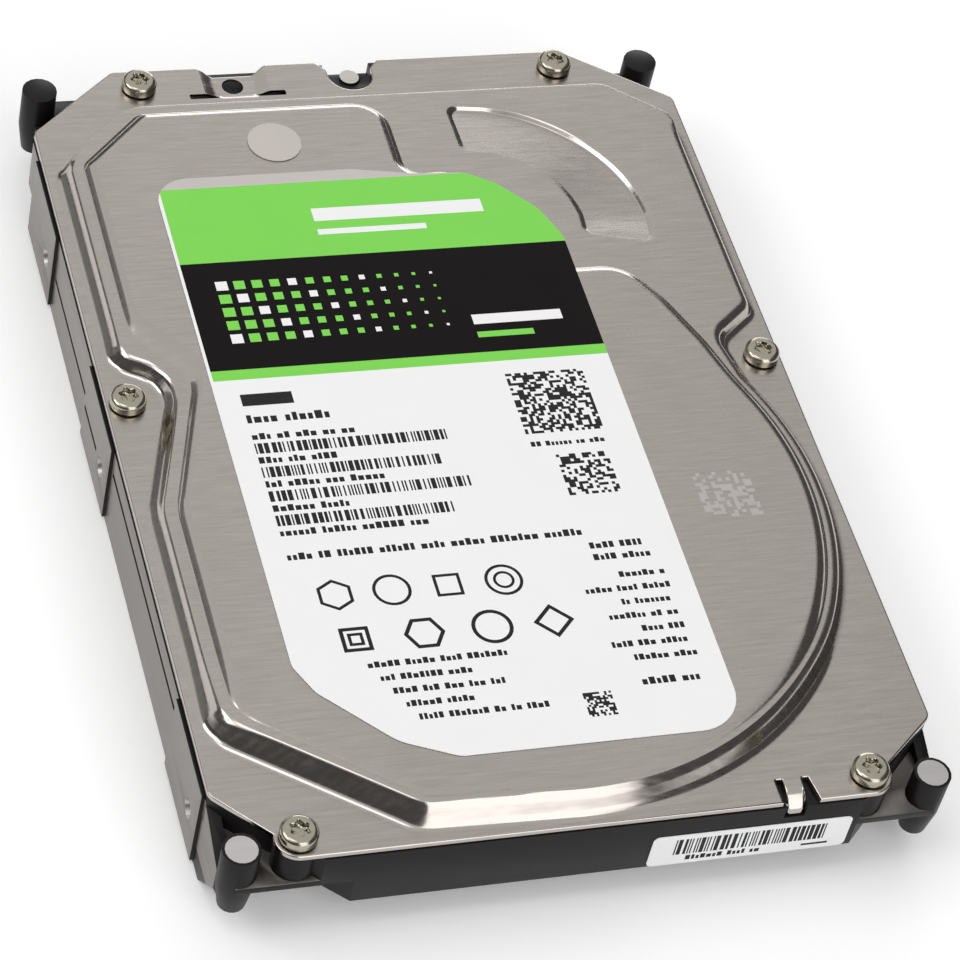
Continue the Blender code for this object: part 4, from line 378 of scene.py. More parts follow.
def shade(piece: bpy.types.Object, angle: float = 30.0) -> None:
    """Shades a piece smooth except over sharp edges."""
    deselect()
    piece.select_set(True)
    bpy.context.view_layer.objects.active = piece
    bpy.ops.object.shade_smooth_by_angle(angle=math.radians(angle))
    deselect()


def twin(piece: bpy.types.Object, name: str, shift: Vector) -> bpy.types.Object:
    """Copy of a piece with its own mesh, moved in its mesh."""
    copy = bpy.data.objects.new(name, piece.data.copy())
    copy.data.transform(Matrix.Translation(shift))
    bpy.context.scene.collection.objects.link(copy)
    return copy


# Finishes


class Net:
    """Node tree of one material or group under construction."""

    def __init__(self, tree: bpy.types.NodeTree) -> None:
        """Keeps the tree that nodes are added to."""
        self.tree = tree

    def add(self, kind: str, **values: object) -> bpy.types.Node:
        """Adds a node.

        Args:
            kind: Blender's name of the node type.
            **values: Properties of the node, or numbers and sockets for its inputs.

        Returns:
            The new node.
        """
        node = self.tree.nodes.new(kind)
        for key, value in values.items():
            name = key.replace("_", " ").title() if key not in node.inputs else key
            if hasattr(node, key):
                setattr(node, key, value)
            elif isinstance(value, bpy.types.NodeSocket):
                self.tree.links.new(value, node.inputs[name])
            else:
                node.inputs[name].default_value = value
        return node

    def math(self, operation: str, first: object, second: object = 0.0) -> bpy.types.NodeSocket:
        """Math node on two numbers or sockets; returns its result."""
        node = self.tree.nodes.new("ShaderNodeMath")
        node.operation = operation
        for place, value in zip(node.inputs, (first, second)):
            if isinstance(value, bpy.types.NodeSocket):
                self.tree.links.new(value, place)
            else:
                place.default_value = value
        return node.outputs[0]

    def mix(self, amount: object, first: object, second: object) -> bpy.types.NodeSocket:
        """Mixes two colours by an amount; returns the colour."""
        node = self.tree.nodes.new("ShaderNodeMix")
        node.data_type = "RGBA"
        for place, value in ((0, amount), (6, first), (7, second)):
            if isinstance(value, bpy.types.NodeSocket):
                self.tree.links.new(value, node.inputs[place])
            elif place == 0:
                node.inputs[place].default_value = value
            else:
                node.inputs[place].default_value = (*value, 1.0)
        return node.outputs[2]

    def link(self, source: bpy.types.NodeSocket, target: bpy.types.NodeSocket) -> None:
        """Joins two sockets."""
        self.tree.links.new(source, target)


def new_group(name: str, inputs: dict[str, float], outputs: list[str]) -> tuple:
    """Starts a shader group.

    Args:
        name: Name of the group.
        inputs: Names of its number inputs with their usual values.
        outputs: Names of its number outputs.

    Returns:
        The group, its net, and its input and output nodes.
    """
    group = bpy.data.node_groups.new(name, "ShaderNodeTree")
    for key, value in inputs.items():
        socket = group.interface.new_socket(key, in_out="INPUT", socket_type="NodeSocketFloat")
        socket.default_value = value
    for key in outputs:
        group.interface.new_socket(key, in_out="OUTPUT", socket_type="NodeSocketFloat")
    net = Net(group)
    return group, net, net.add("NodeGroupInput"), net.add("NodeGroupOutput")


def make_tool_lines() -> bpy.types.NodeTree:
    """Group of fine lines that brushing or milling leaves, with a slow drift of tone.

    Returns:
        The group: lines, drift and specks, each from 0 to 1.
    """
    names = {"Across": 900.0, "Along": 12.0, "Cross": 0.0}
    group, net, given, result = new_group("tool_lines", names, ["Lines", "Drift", "Specks"])
    place = net.add("ShaderNodeTexCoord").outputs["Object"]
    axes = net.add("ShaderNodeSeparateXYZ", Vector=place)
    along = net.math("MULTIPLY", axes.outputs["X"], given.outputs["Along"])
    across = net.math("MULTIPLY", axes.outputs["Y"], given.outputs["Across"])
    depth = net.math("MULTIPLY", axes.outputs["Z"], given.outputs["Along"])
    cross_along = net.math("MULTIPLY", axes.outputs["X"], given.outputs["Across"])
    cross_across = net.math("MULTIPLY", axes.outputs["Y"], given.outputs["Along"])
    first = net.add("ShaderNodeCombineXYZ", X=along, Y=across, Z=depth)
    second = net.add("ShaderNodeCombineXYZ", X=cross_along, Y=cross_across, Z=depth)
    chosen = net.add("ShaderNodeMix", data_type="VECTOR")
    net.link(given.outputs["Cross"], chosen.inputs[0])
    net.link(first.outputs[0], chosen.inputs[4])
    net.link(second.outputs[0], chosen.inputs[5])
    fine = net.add("ShaderNodeTexNoise", Vector=chosen.outputs[1], Scale=1.0, Detail=3.0)
    wide = net.add("ShaderNodeTexNoise", Vector=place, Scale=28.0, Detail=2.0)
    speck = net.add("ShaderNodeTexNoise", Vector=chosen.outputs[1], Scale=2.3, Detail=1.0)
    net.link(fine.outputs["Fac"], result.inputs["Lines"])
    net.link(wide.outputs["Fac"], result.inputs["Drift"])
    net.link(speck.outputs["Fac"], result.inputs["Specks"])
    return group


def make_skin_grain() -> bpy.types.NodeTree:
    """Group of the fine unevenness of a coat or a moulding, with faint rubbed patches.

    Returns:
        The group: grain and rub, each from 0 to 1.
    """
    group, net, given, result = new_group("skin_grain", {"Scale": 2500.0}, ["Grain", "Rub"])
    place = net.add("ShaderNodeTexCoord").outputs["Object"]
    grain = net.add("ShaderNodeTexNoise", Vector=place, Detail=2.0)
    net.link(given.outputs["Scale"], grain.inputs["Scale"])
    rub = net.add("ShaderNodeTexNoise", Vector=place, Scale=160.0, Detail=4.0)
    net.link(grain.outputs["Fac"], result.inputs["Grain"])
    net.link(rub.outputs["Fac"], result.inputs["Rub"])
    return group


TOOL_LINES = make_tool_lines()
SKIN_GRAIN = make_skin_grain()


def new_material(name: str) -> tuple[bpy.types.Material, Net, bpy.types.Node]:
    """Starts a material; returns it with its net and its Principled shader."""
    material = bpy.data.materials.new(name)
    material.use_nodes = True
    return material, Net(material.node_tree), material.node_tree.nodes["Principled BSDF"]


@dataclass(frozen=True)
class ToolMarked:
    """Bare metal with fine tool lines."""

    name: str
    colour: Colour
    roughness: float = 0.35
    run: Run = Run.ACROSS
    across: float = 900.0
    along: float = 12.0
    contrast: float = 0.25
    bump: float = 0.15

    def make(self) -> bpy.types.Material:
        """Builds the material."""
        material, net, shader = new_material(self.name)
        lines = net.add("ShaderNodeGroup", node_tree=TOOL_LINES)
        lines.inputs["Across"].default_value = self.across
        lines.inputs["Along"].default_value = self.along
        lines.inputs["Cross"].default_value = 1.0 if self.run is Run.LENGTHWISE else 0.0
        dark = tuple(value * (1 - self.contrast) for value in self.colour)
        light = tuple(min(1.0, value * (1 + self.contrast)) for value in self.colour)
        tone = net.math("MULTIPLY", lines.outputs["Lines"], 0.75)
        tone = net.math("ADD", tone, net.math("MULTIPLY", lines.outputs["Drift"], 0.25))
        net.link(net.mix(tone, dark, light), shader.inputs["Base Color"])
        rough = net.math("MULTIPLY", lines.outputs["Specks"], 0.22)
        rough = net.math("ADD", rough, self.roughness - 0.11)
        net.link(rough, shader.inputs["Roughness"])
        bump = net.add("ShaderNodeBump", Strength=self.bump, Distance=0.00004)
        net.link(lines.outputs["Lines"], bump.inputs["Height"])
        net.link(bump.outputs["Normal"], shader.inputs["Normal"])
        shader.inputs["Metallic"].default_value = 1.0
        return material


@dataclass(frozen=True)
class Skin:
    """Paint, moulding, paper, rubber or any other surface with a fine grain."""

    name: str
    colour: Colour
    roughness: float = 0.5
    metallic: float = 0.0
    grain: float = 2500.0
    bump: float = 0.15
    depth: float = 0.00003
    variation: float = 0.2
    coat: float = 0.0
    specular: float = 0.5

    def make(self) -> bpy.types.Material:
        """Builds the material."""
        material, net, shader = new_material(self.name)
        skin = net.add("ShaderNodeGroup", node_tree=SKIN_GRAIN)
        skin.inputs["Scale"].default_value = self.grain
        dark = tuple(value * (1 - self.variation) for value in self.colour)
        light = tuple(min(1.0, value * (1 + self.variation)) for value in self.colour)
        net.link(net.mix(skin.outputs["Rub"], dark, light), shader.inputs["Base Color"])
        rough = net.math("MULTIPLY", skin.outputs["Rub"], 0.16)
        net.link(net.math("ADD", rough, self.roughness - 0.08), shader.inputs["Roughness"])
        bump = net.add("ShaderNodeBump", Strength=self.bump, Distance=self.depth)
        net.link(skin.outputs["Grain"], bump.inputs["Height"])
        net.link(bump.outputs["Normal"], shader.inputs["Normal"])
        shader.inputs["Metallic"].default_value = self.metallic
        shader.inputs["Coat Weight"].default_value = self.coat
        shader.inputs["Specular IOR Level"].default_value = self.specular
        return material


COVER_SHEET = ToolMarked(
    "cover_sheet", (0.47, 0.432, 0.402), 0.27, across=2200.0, along=150.0, contrast=0.24, bump=0.08
)
COVER_BEND = ToolMarked(
    "cover_bend", (0.47, 0.432, 0.402), 0.17, across=900.0, along=150.0, contrast=0.06, bump=0.02
)
MILLED = ToolMarked("milled_alloy", (0.238, 0.219, 0.203), 0.38, Run.LENGTHWISE, contrast=0.14)
FACED = ToolMarked("faced_alloy", (0.62, 0.6, 0.59), 0.36, contrast=0.1, bump=0.06)
CHROME = ToolMarked("screw_chrome", (0.42, 0.395, 0.32), 0.2, contrast=0.08, bump=0.04)
PIN_STEEL = ToolMarked("pin_steel", (0.62, 0.6, 0.56), 0.3, contrast=0.06, bump=0.04)
PLATED = ToolMarked("plated_steel", (0.5, 0.5, 0.49), 0.32, contrast=0.1, bump=0.06)
ALLOY = ToolMarked("turned_alloy", (0.62, 0.62, 0.63), 0.36, contrast=0.1, bump=0.06)
MIRROR = ToolMarked("disc_mirror", (0.82, 0.82, 0.84), 0.13, contrast=0.02, bump=0.01)
GOLD = ToolMarked("gold_contact", (0.83, 0.6, 0.24), 0.3, contrast=0.08, bump=0.05)
COAT = Skin("black_coat", (0.009, 0.0075, 0.0075), 0.4, grain=3200.0, bump=0.25, specular=0.21)
PLASTIC = Skin("black_plastic", (0.02, 0.02, 0.021), 0.45, bump=0.12)
PALE = Skin("pale_plastic", (0.72, 0.7, 0.62), 0.45, variation=0.05)
RUBBER = Skin("rubber", (0.03, 0.03, 0.03), 0.75, variation=0.15)
PAPER = Skin("label_paper", (0.93, 0.93, 0.93), 0.42, grain=6000.0, bump=0.05, variation=0.015)
PALE_FILM = Skin("label_film", (0.57, 0.525, 0.505), 0.45, grain=6000.0, bump=0.05, variation=0.02)
GREEN_INK = Skin("label_green", (0.2, 0.7, 0.07), 0.4, grain=6000.0, bump=0.05, variation=0.03)
DARK_INK = Skin("label_dark", (0.009, 0.007, 0.008), 0.5, grain=6000.0, bump=0.05, specular=0.05)
INK = Skin("label_ink", (0.018, 0.017, 0.018), 0.5, grain=6000.0, bump=0.05, specular=0.15)
ETCHED = Skin("etched_metal", (0.55, 0.52, 0.5), 0.6, 0.6, variation=0.1)
SEAL = Skin("seal_film", (0.56, 0.515, 0.48), 0.5, 0.0, bump=0.06, variation=0.04)
COPPER = ToolMarked("copper_wire", (0.72, 0.33, 0.15), 0.35, across=2500.0, contrast=0.2)
TRACK = Skin("board_track", (0.02, 0.125, 0.072), 0.33, grain=1200.0, variation=0.2, coat=0.3)
BOARD = Skin("board_mask", (0.012, 0.075, 0.045), 0.35, grain=1200.0, variation=0.25, coat=0.3)
FILM = Skin("flex_film", (0.5, 0.26, 0.06), 0.4, variation=0.12)
CLOTH = Skin("filter_cloth", (0.78, 0.78, 0.76), 0.9, grain=3500.0, bump=0.6, variation=0.08)
FERRITE = Skin("ferrite", (0.2, 0.2, 0.21), 0.5, 0.6, variation=0.15)
BARRIER = Skin("insulator_sheet", (0.02, 0.02, 0.02), 0.65, variation=0.2)


class Paints:
    """Materials made from finishes, one of each."""

    def __init__(self) -> None:
        """Starts with no material made."""
        self.made: dict[str, bpy.types.Material] = {}

    def of(self, finish: ToolMarked | Skin) -> bpy.types.Material:
        """The material of a finish, made at its first use."""
        if finish.name not in self.made:
            self.made[finish.name] = finish.make()
        return self.made[finish.name]

    def on(self, piece: bpy.types.Object, *finishes: ToolMarked | Skin) -> None:
        """Gives a piece these finishes as its material slots."""
        piece.data.materials.clear()
        for finish in finishes:
            piece.data.materials.append(self.of(finish))


PAINTS = Paints()


def settle(piece: bpy.types.Object, body: Body, slot: Slot, *nodes: str) -> None:
    """Rides a piece on its body and hides the CAD nodes that it stands for.

    Args:
        piece: The finished piece.
        body: Body that it moves with.
        slot: Material slot of the record; not used.
        *nodes: Names of the CAD nodes that it replaces.
    """
    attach(piece, body.value)
    if nodes:
        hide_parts(*nodes)
    log.info("%s: %d faces", piece.name, len(piece.data.polygons))


# Sub-assemblies


@dataclass
class PressedCover:
    """Brushed cover sheet with two raised tiers, a crescent, notches and slots."""

    low: float = 15.8 * MM
    flange: float = 16.5 * MM
    step: float = 18.9 * MM
    panel: float = 20.0 * MM
    half_x: float = 50.45
    half_y: float = 73.2
    sheet: float = 0.45 * MM
    lip: float = 0.25 * MM
    step_run: float = 1.2 * MM
    panel_run: float = 0.8 * MM
    near_step: float = 19.75 * MM
    near_lean: float = 0.75 * MM
    front_lean: float = 0.3
    corner_lean: float = 0.6 * MM
    ease: float = 1.9 * MM
    sweep: tuple = (18.0, 67.0)
    sweep_from: float = -0.6 * MM
    sweep_run: float = 2.25 * MM
    hold: float = 0.08 * MM
    bow: tuple = (-2.2, -21.1)
    bow_radius: float = 51.45
    panel_radius: float = 48.1
    pivot: tuple = (12.0, 34.03)
    screws: tuple = field(
        default=((-33.0, 69.4), (33.0, 69.4), (-47.4, 6.0), (47.4, 6.0), (-40.4, -70.0), (38.6, -70.0))
    )
    hole_radius: float = 1.9 * MM
    dish: float = 0.66 * MM
    dish_run: float = 0.65 * MM
    bent: float = 0.99
    foot_bend: float = 1.2 * MM
    crest_bend: float = 1.5 * MM
    crest_edge: float = 0.016 * MM

    def edge_outline(self) -> Points:
        """Plan of the flange with its far notches and front tabs."""
        x, y = self.half_x, self.half_y
        corners = on_arc((-40.4, -70.0), 3.2, 164, 270, 14)
        corners += [(25.3, -y, 0), (25.3, -69.3, 0.2), (26.28, -69.3, 0.2), (26.28, -y, 0.55)]
        corners += [(28.62, -y, 0.55), (29.1, -69.3, 0.2), (30.0, -69.3, 0.2), (30.6, -y, 0)]
        corners += on_arc((38.6, -70.0), 3.2, 270, 380, 14)
        corners += [(x, -y + 11.6, 2), (x, y - 11.7, 2), (x - 15.6, y, 2)]
        corners += [(5.3, y, 0.8), (3.9, y - 1.6, 0.8)]
        corners += on_arc((0.3, 70.3), 3.5, 8, -188, 18)
        corners += [(-3.3, y - 1.6, 0.8), (-4.7, y, 0.8), (-12.6, y, 0.6), (-15.0, 71.7, 0.6)]
        corners += [(-21.0, 71.7, 0.6), (-23.4, y, 0.6)]
        corners += [(-x + 14.0, y, 2), (-x, y - 12.0, 2), (-x, -y + 11.2, 2)]
        return closer(rounded(corners), 0.3 * MM, lambda p: self.formed(p.x / MM, p.y / MM))

    @staticmethod
    def formed(x: float, y: float) -> bool:
        """Whether a place in millimetres lies in the sunk tab or in the bent hook."""
        return (-27 < x < -9 and y > 65) or (25 < x < 31 and y < -69)

    def sunk(self, corner: Vector) -> float:
        """How far a corner of the flange is pressed down.

        Args:
            corner: Its place in metres.

        Returns:
            The drop in metres.
        """
        x, y = corner.x / MM, corner.y / MM
        drop = 0.7 * min(ramp(x, -23.2, -21.1), 1 - ramp(x, -14.9, -12.8)) * ramp(y, 66.4, 67.3)
        if 26.2 < x < 28.7 and y < -70.2:
            drop += 1.9 * ((-70.2 - y) / 3.0) ** 2
        return drop * MM

    def step_outline(self) -> Points:
        """Foot of the main step."""
        left, right, far = -self.half_x + 1.0, self.half_x - 0.8, self.half_y - 8.4
        neck = math.degrees(math.asin((1.0 - self.bow[1]) / self.bow_radius))
        corners = on_arc(self.bow, self.bow_radius, -90, neck, 60)
        corners += [(42.9, 8.5, 2.2), (right, 13.9, 4.2), (right, far - 8.7, 6), (right - 10.3, far, 6)]
        corners += [(left + 12.8, far, 6), (left, far - 12.2, 6), (left, 12.2, 6), (-42.0, 8.2, 5)]
        corners += [(left, -15.0, 15), (left, -53.65, 7.5), (-24.8, -71.75, 7.5)]
        return closer(rounded(corners), 2 * MM, lambda p: True)

    def panel_outline(self) -> Points:
        """Foot of the upper panel."""
        left, far = -self.half_x + 4.85, self.half_y - 11.9
        front = self.bow[1] - self.panel_radius
        px = self.pivot[0]
        corners = on_arc(self.bow, self.panel_radius, -90, 20, 60)
        corners += [(41.0, 0.6, 30), (38.9, 7.6, 30), (35.2, 16.6, 12), (30.6, 24.1, 7)]
        corners += [(px + 6, 24.1, 5), (px - 1.4, 38.0, 3), (px - 1.4, 45.6, 2.6)]
        corners += [(px - 9.1, 45.6, 2.2), (px - 9.1, far, 5.5)]
        corners += [(left + 10.4, far, 3), (left, far - 10.2, 3), (left, 16.2, 6), (-38.4, 7.2, 6)]
        corners += [(left, -16.0, 15), (left, front + 17.3, 7)]
        corners += [(left + 21.5, front + 1.2, 7)]
        return closer(rounded(corners), 2 * MM, lambda p: True)

    def crescent_outline(self) -> Points:
        """Plan of the sunk crescent over the magnets."""
        outer, inner, first, last, corner = 26.4, 14.6, -15.0, 90.0, 2.4
        back = 14.0
        corners = []
        for radius, start, end, side in ((outer, first, last, 1), (inner, last, first, -1)):
            trim = side * back * (outer / radius) ** 0.5
            middle = on_arc(self.pivot, radius, start + trim, end - trim, 24)
            ends = [(*polar(radius, math.radians(a), Vector(self.pivot)), corner) for a in (start, end)]
            corners += [ends[0], *middle, ends[1]]
        return rounded(corners)

    def in_dish(self, corner: Vector) -> bool:
        """Whether a corner of the sheet lies on the crescent."""
        reach = (corner.xy / MM - Vector(self.pivot)).length
        return corner.z < self.step - 1e-7 and 14 < reach < 27 and corner.y > 24.5 * MM and corner.x > 10 * MM

    def dish_share(self, corner: Vector) -> float:
        """Share of the crescent's depth at one place: full outside, fading inside and at its foot."""
        away = corner.xy / MM - Vector(self.pivot)
        angle = math.degrees(math.atan2(away.y, away.x))
        inner = 0.6 * (1 - ramp(angle, 2, 38))
        share = inner + (1 - inner) * min(1.0, max(0.0, (away.length - 15.6) / 9.2))
        return share * ramp(angle, -15.5, 4.5)

    def step_slope(self) -> list[tuple[float, float]]:
        """Rows of the main step."""
        return s_profile(self.step_run, self.step - self.flange, self.foot_bend, self.crest_bend)

    def swept(self, inward: float) -> float:
        """Share of the main step's rise on its left flank, a hollow sweep up to a sharp crest.

        Args:
            inward: Distance from the foot of the plain slope.

        Returns:
            The share, from 0 to 1.
        """
        low, high = (math.radians(angle) for angle in self.sweep)
        along = min(1.0, max(0.0, (inward - self.sweep_from) / self.sweep_run))
        angle = math.asin(math.sin(low) + along * (math.sin(high) - math.sin(low)))
        return (math.cos(low) - math.cos(angle)) / (math.cos(low) - math.cos(high))

    def row_heights(self) -> list[tuple[float, float, float]]:
        """Height of each row of the main step, plain, with sharp bends and as a hollow sweep."""
        rise = self.step - self.flange
        inward = -self.foot_bend * math.tan(math.atan2(rise, self.step_run) / 2)
        height = self.flange
        rows = []
        for step_in, step_up in self.step_slope():
            inward, height = inward + step_in, height + step_up
            rows.append((inward, height))
        low, high = (min((row[0] for row in rows), key=lambda u: abs(u - end)) for end in (0, self.step_run))
        result = []
        for inward, height in rows:
            crisp = min(1.0, max(0.0, (inward - low) / (high - low + self.crest_edge)))
            result.append((height, self.flange + rise * crisp, self.flange + rise * self.swept(inward)))
        return result

    def formed_height(self, corner: Vector, heights: list[tuple[float, float, float]]) -> float:
        """Height of a corner of the main step once its bends are formed.

        Args:
            corner: Its place on the plain slope.
            heights: Heights of the rows.

        Returns:
            Its height: the far bends are sharp, the left flank is a sweep, the right foot is sharp.
        """
        x, y = corner.x / MM, corner.y / MM
        soft, crisp, hollow = min(heights, key=lambda row: abs(row[0] - corner.z))
        lower = soft < (self.flange + self.step) / 2
        far = ramp(y, 50.5, 53.5)
        straight = max(ramp(y, 12.5, 17), ramp(-y, -5, 3)) * (1 - ramp(-y, 48, 54)) * (1 - far)
        if x < 0:
            near = 0.7 * ramp(-y, 52, 57) * ramp(-x, 18, 26) * (not lower)
            return soft + (crisp - soft) * max(far, near) + (hollow - soft) * straight
        return soft + (crisp - soft) * max(far, 0.8 * straight * lower)

    def far_lean(self, corner: Vector) -> None:
        """Steepens the far left corner of the main step and eases the panel's edge at the left neck."""
        x, y = corner.x / MM, corner.y / MM
        if corner.z <= self.step + 1e-7:
            share = (corner.z - self.flange) / (self.step - self.flange)
            away = Vector((-0.692, 0.722))
            share *= ramp(y, 52.5, 55) * ramp(-x, 36, 38) * ramp(away.dot((x, y)), 68.9, 69.7)
            corner.xy += away * self.corner_lean * share
        else:
            share = (corner.z - self.step) / (self.panel - self.step)
            neck = ramp(y, 4.5, 9) * (1 - ramp(y, 14, 22)) * ramp(-x, 33, 35)
            corner.xy += Vector((0.77, 0.64)) * self.ease * share * neck

    def level(self, corner: Vector) -> float:
        """Height of a corner once the lower tier rises into the panel at the near end.

        Args:
            corner: Its place on the plain tiers.

        Returns:
            Its height.
        """
        rise = (self.near_step - self.step) * ramp(-corner.y / MM, 39, 57)
        if corner.z <= self.step:
            share = (corner.z - self.flange) / (self.step - self.flange)
            return corner.z + rise * share
        return corner.z + rise * (self.panel - corner.z) / (self.panel - self.step)

    def lean(self, corner: Vector) -> None:
        """Moves a corner of the near slope inward by its height."""
        if corner.z <= self.step + 1e-7:
            inward = (Vector(self.bow) * MM - corner.xy).normalized()
            share = (corner.z - self.flange) / (self.step - self.flange)
            reach = (corner.xy / MM - Vector(self.bow)).length
            share *= ramp(-corner.y / MM, 44, 58) * ramp(reach, 48.3, 49.4)
            share *= 1 - self.front_lean * ramp(corner.x / MM, -24, -8)
            share *= ramp(corner.x / MM, -50, -46)
            corner.xy += inward * self.near_lean * share

    def openings(self) -> list[Points]:
        """Outlines of the screw holes, the far slots and the far hole."""
        holes = [arc(Vector(c) * MM, self.hole_radius, 0, 360, 24)[:-1] for c in self.screws]
        holes.append(arc(Vector((-18.35, 69.4)) * MM, 1.65 * MM, 0, 360, 32)[:-1])
        for left, right in ((-25.6, -20.9), (-15.0, -10.6)):
            near, far = 66.35, 67.4
            corners = [(left, near, 0.3), (right, near, 0.3), (right, far, 0.3), (left, far, 0.3)]
            holes.append(closer(rounded(corners, 5), 0.3 * MM, lambda p: True))
        return holes

    def build(self) -> bpy.types.Object:
        """Models the sheet.

        Returns:
            The finished piece.
        """
        piece = empty_piece("cover_sheet")
        flat = (self.hold, 0.0)
        turns = [math.pi / 2 * step / 4 for step in range(5)]
        rows = [(self.lip * (1 - math.cos(t)), self.lip * math.sin(t)) for t in turns]
        lip = [(b[0] - a[0], b[1] - a[1]) for a, b in zip(rows, rows[1:])]
        self.tier(self.edge_outline(), self.flange - self.lip, lip + [flat])
        self.tier(self.step_outline(), self.flange, [flat] + self.step_slope() + [flat])
        slope = s_profile(self.panel_run, self.panel - self.step, 0.5 * MM, 2.0 * MM)
        self.tier(self.panel_outline(), self.step, [flat] + slope + [flat])
        slope = s_profile(self.dish_run, self.dish, 0.9 * MM, 0.3 * MM)
        dish = [(inward, -upward) for inward, upward in slope]
        self.tier(self.crescent_outline(), self.step, [flat] + dish + [flat])
        for outline in self.openings():
            bpy.ops.mesh.select_all(action="DESELECT")
            ring(outline, self.flange, False)
        grid = [Vector((x * 0.42, y * 0.4)) * MM for x in range(-65, -21) for y in range(163, 183)]
        grid += [Vector((27 + x * 0.45, -72.5 + y * 0.4)) * MM for x in range(3) for y in range(9)]
        fill_level(self.flange, grid)
        fill_level(self.step)
        fill_level(self.panel)
        bowl = [
            polar(radius * MM, math.radians(angle), Vector(self.pivot) * MM)
            for radius in (17.2, 18.6, 20.0, 21.4, 22.8)
            for angle in range(-8, 85, 4)
        ]
        fill_level(self.step - self.dish, bowl)
        shape = bmesh.from_edit_mesh(piece.data)
        heights = self.row_heights()
        for corner in shape.verts:
            if corner.co.z < self.flange + 1e-6:
                corner.co.z -= self.sunk(corner.co)
            elif self.in_dish(corner.co):
                corner.co.z = self.step - (self.step - corner.co.z) * self.dish_share(corner.co)
            else:
                if corner.co.z < self.step - 1e-6:
                    corner.co.z = self.formed_height(corner.co, heights)
                self.lean(corner.co)
                self.far_lean(corner.co)
                corner.co.z = self.level(corner.co)
        bpy.ops.mesh.select_mode(type="FACE")
        bpy.ops.mesh.select_all(action="SELECT")
        down = {"value": (0, 0, -self.sheet)}
        bpy.ops.mesh.extrude_region_move(TRANSFORM_OT_translate=down)
        bpy.ops.mesh.select_all(action="SELECT")
        bpy.ops.mesh.normals_make_consistent(inside=False)
        return done(piece, "cover_sheet")

    @staticmethod
    def tier(outline: Points, height: float, rows: list) -> None:
        """Raises or sinks one tier on its outline and takes out its inner face."""
        bpy.ops.mesh.select_mode(type="FACE")
        bpy.ops.mesh.select_all(action="DESELECT")
        ring(outline, height)
        inset_rows(rows)
        bpy.ops.mesh.delete(type="ONLY_FACE")

    def dress(self, piece: bpy.types.Object) -> None:
        """Shades, finishes and rides the sheet."""
        shade(piece, 40)
        PAINTS.on(piece, COVER_SHEET, COVER_BEND)
        for face in piece.data.polygons:
            face.material_index = int(abs(face.normal.z) < self.bent)
        settle(piece, Body.CASE, Slot.COVER, "top_cover")


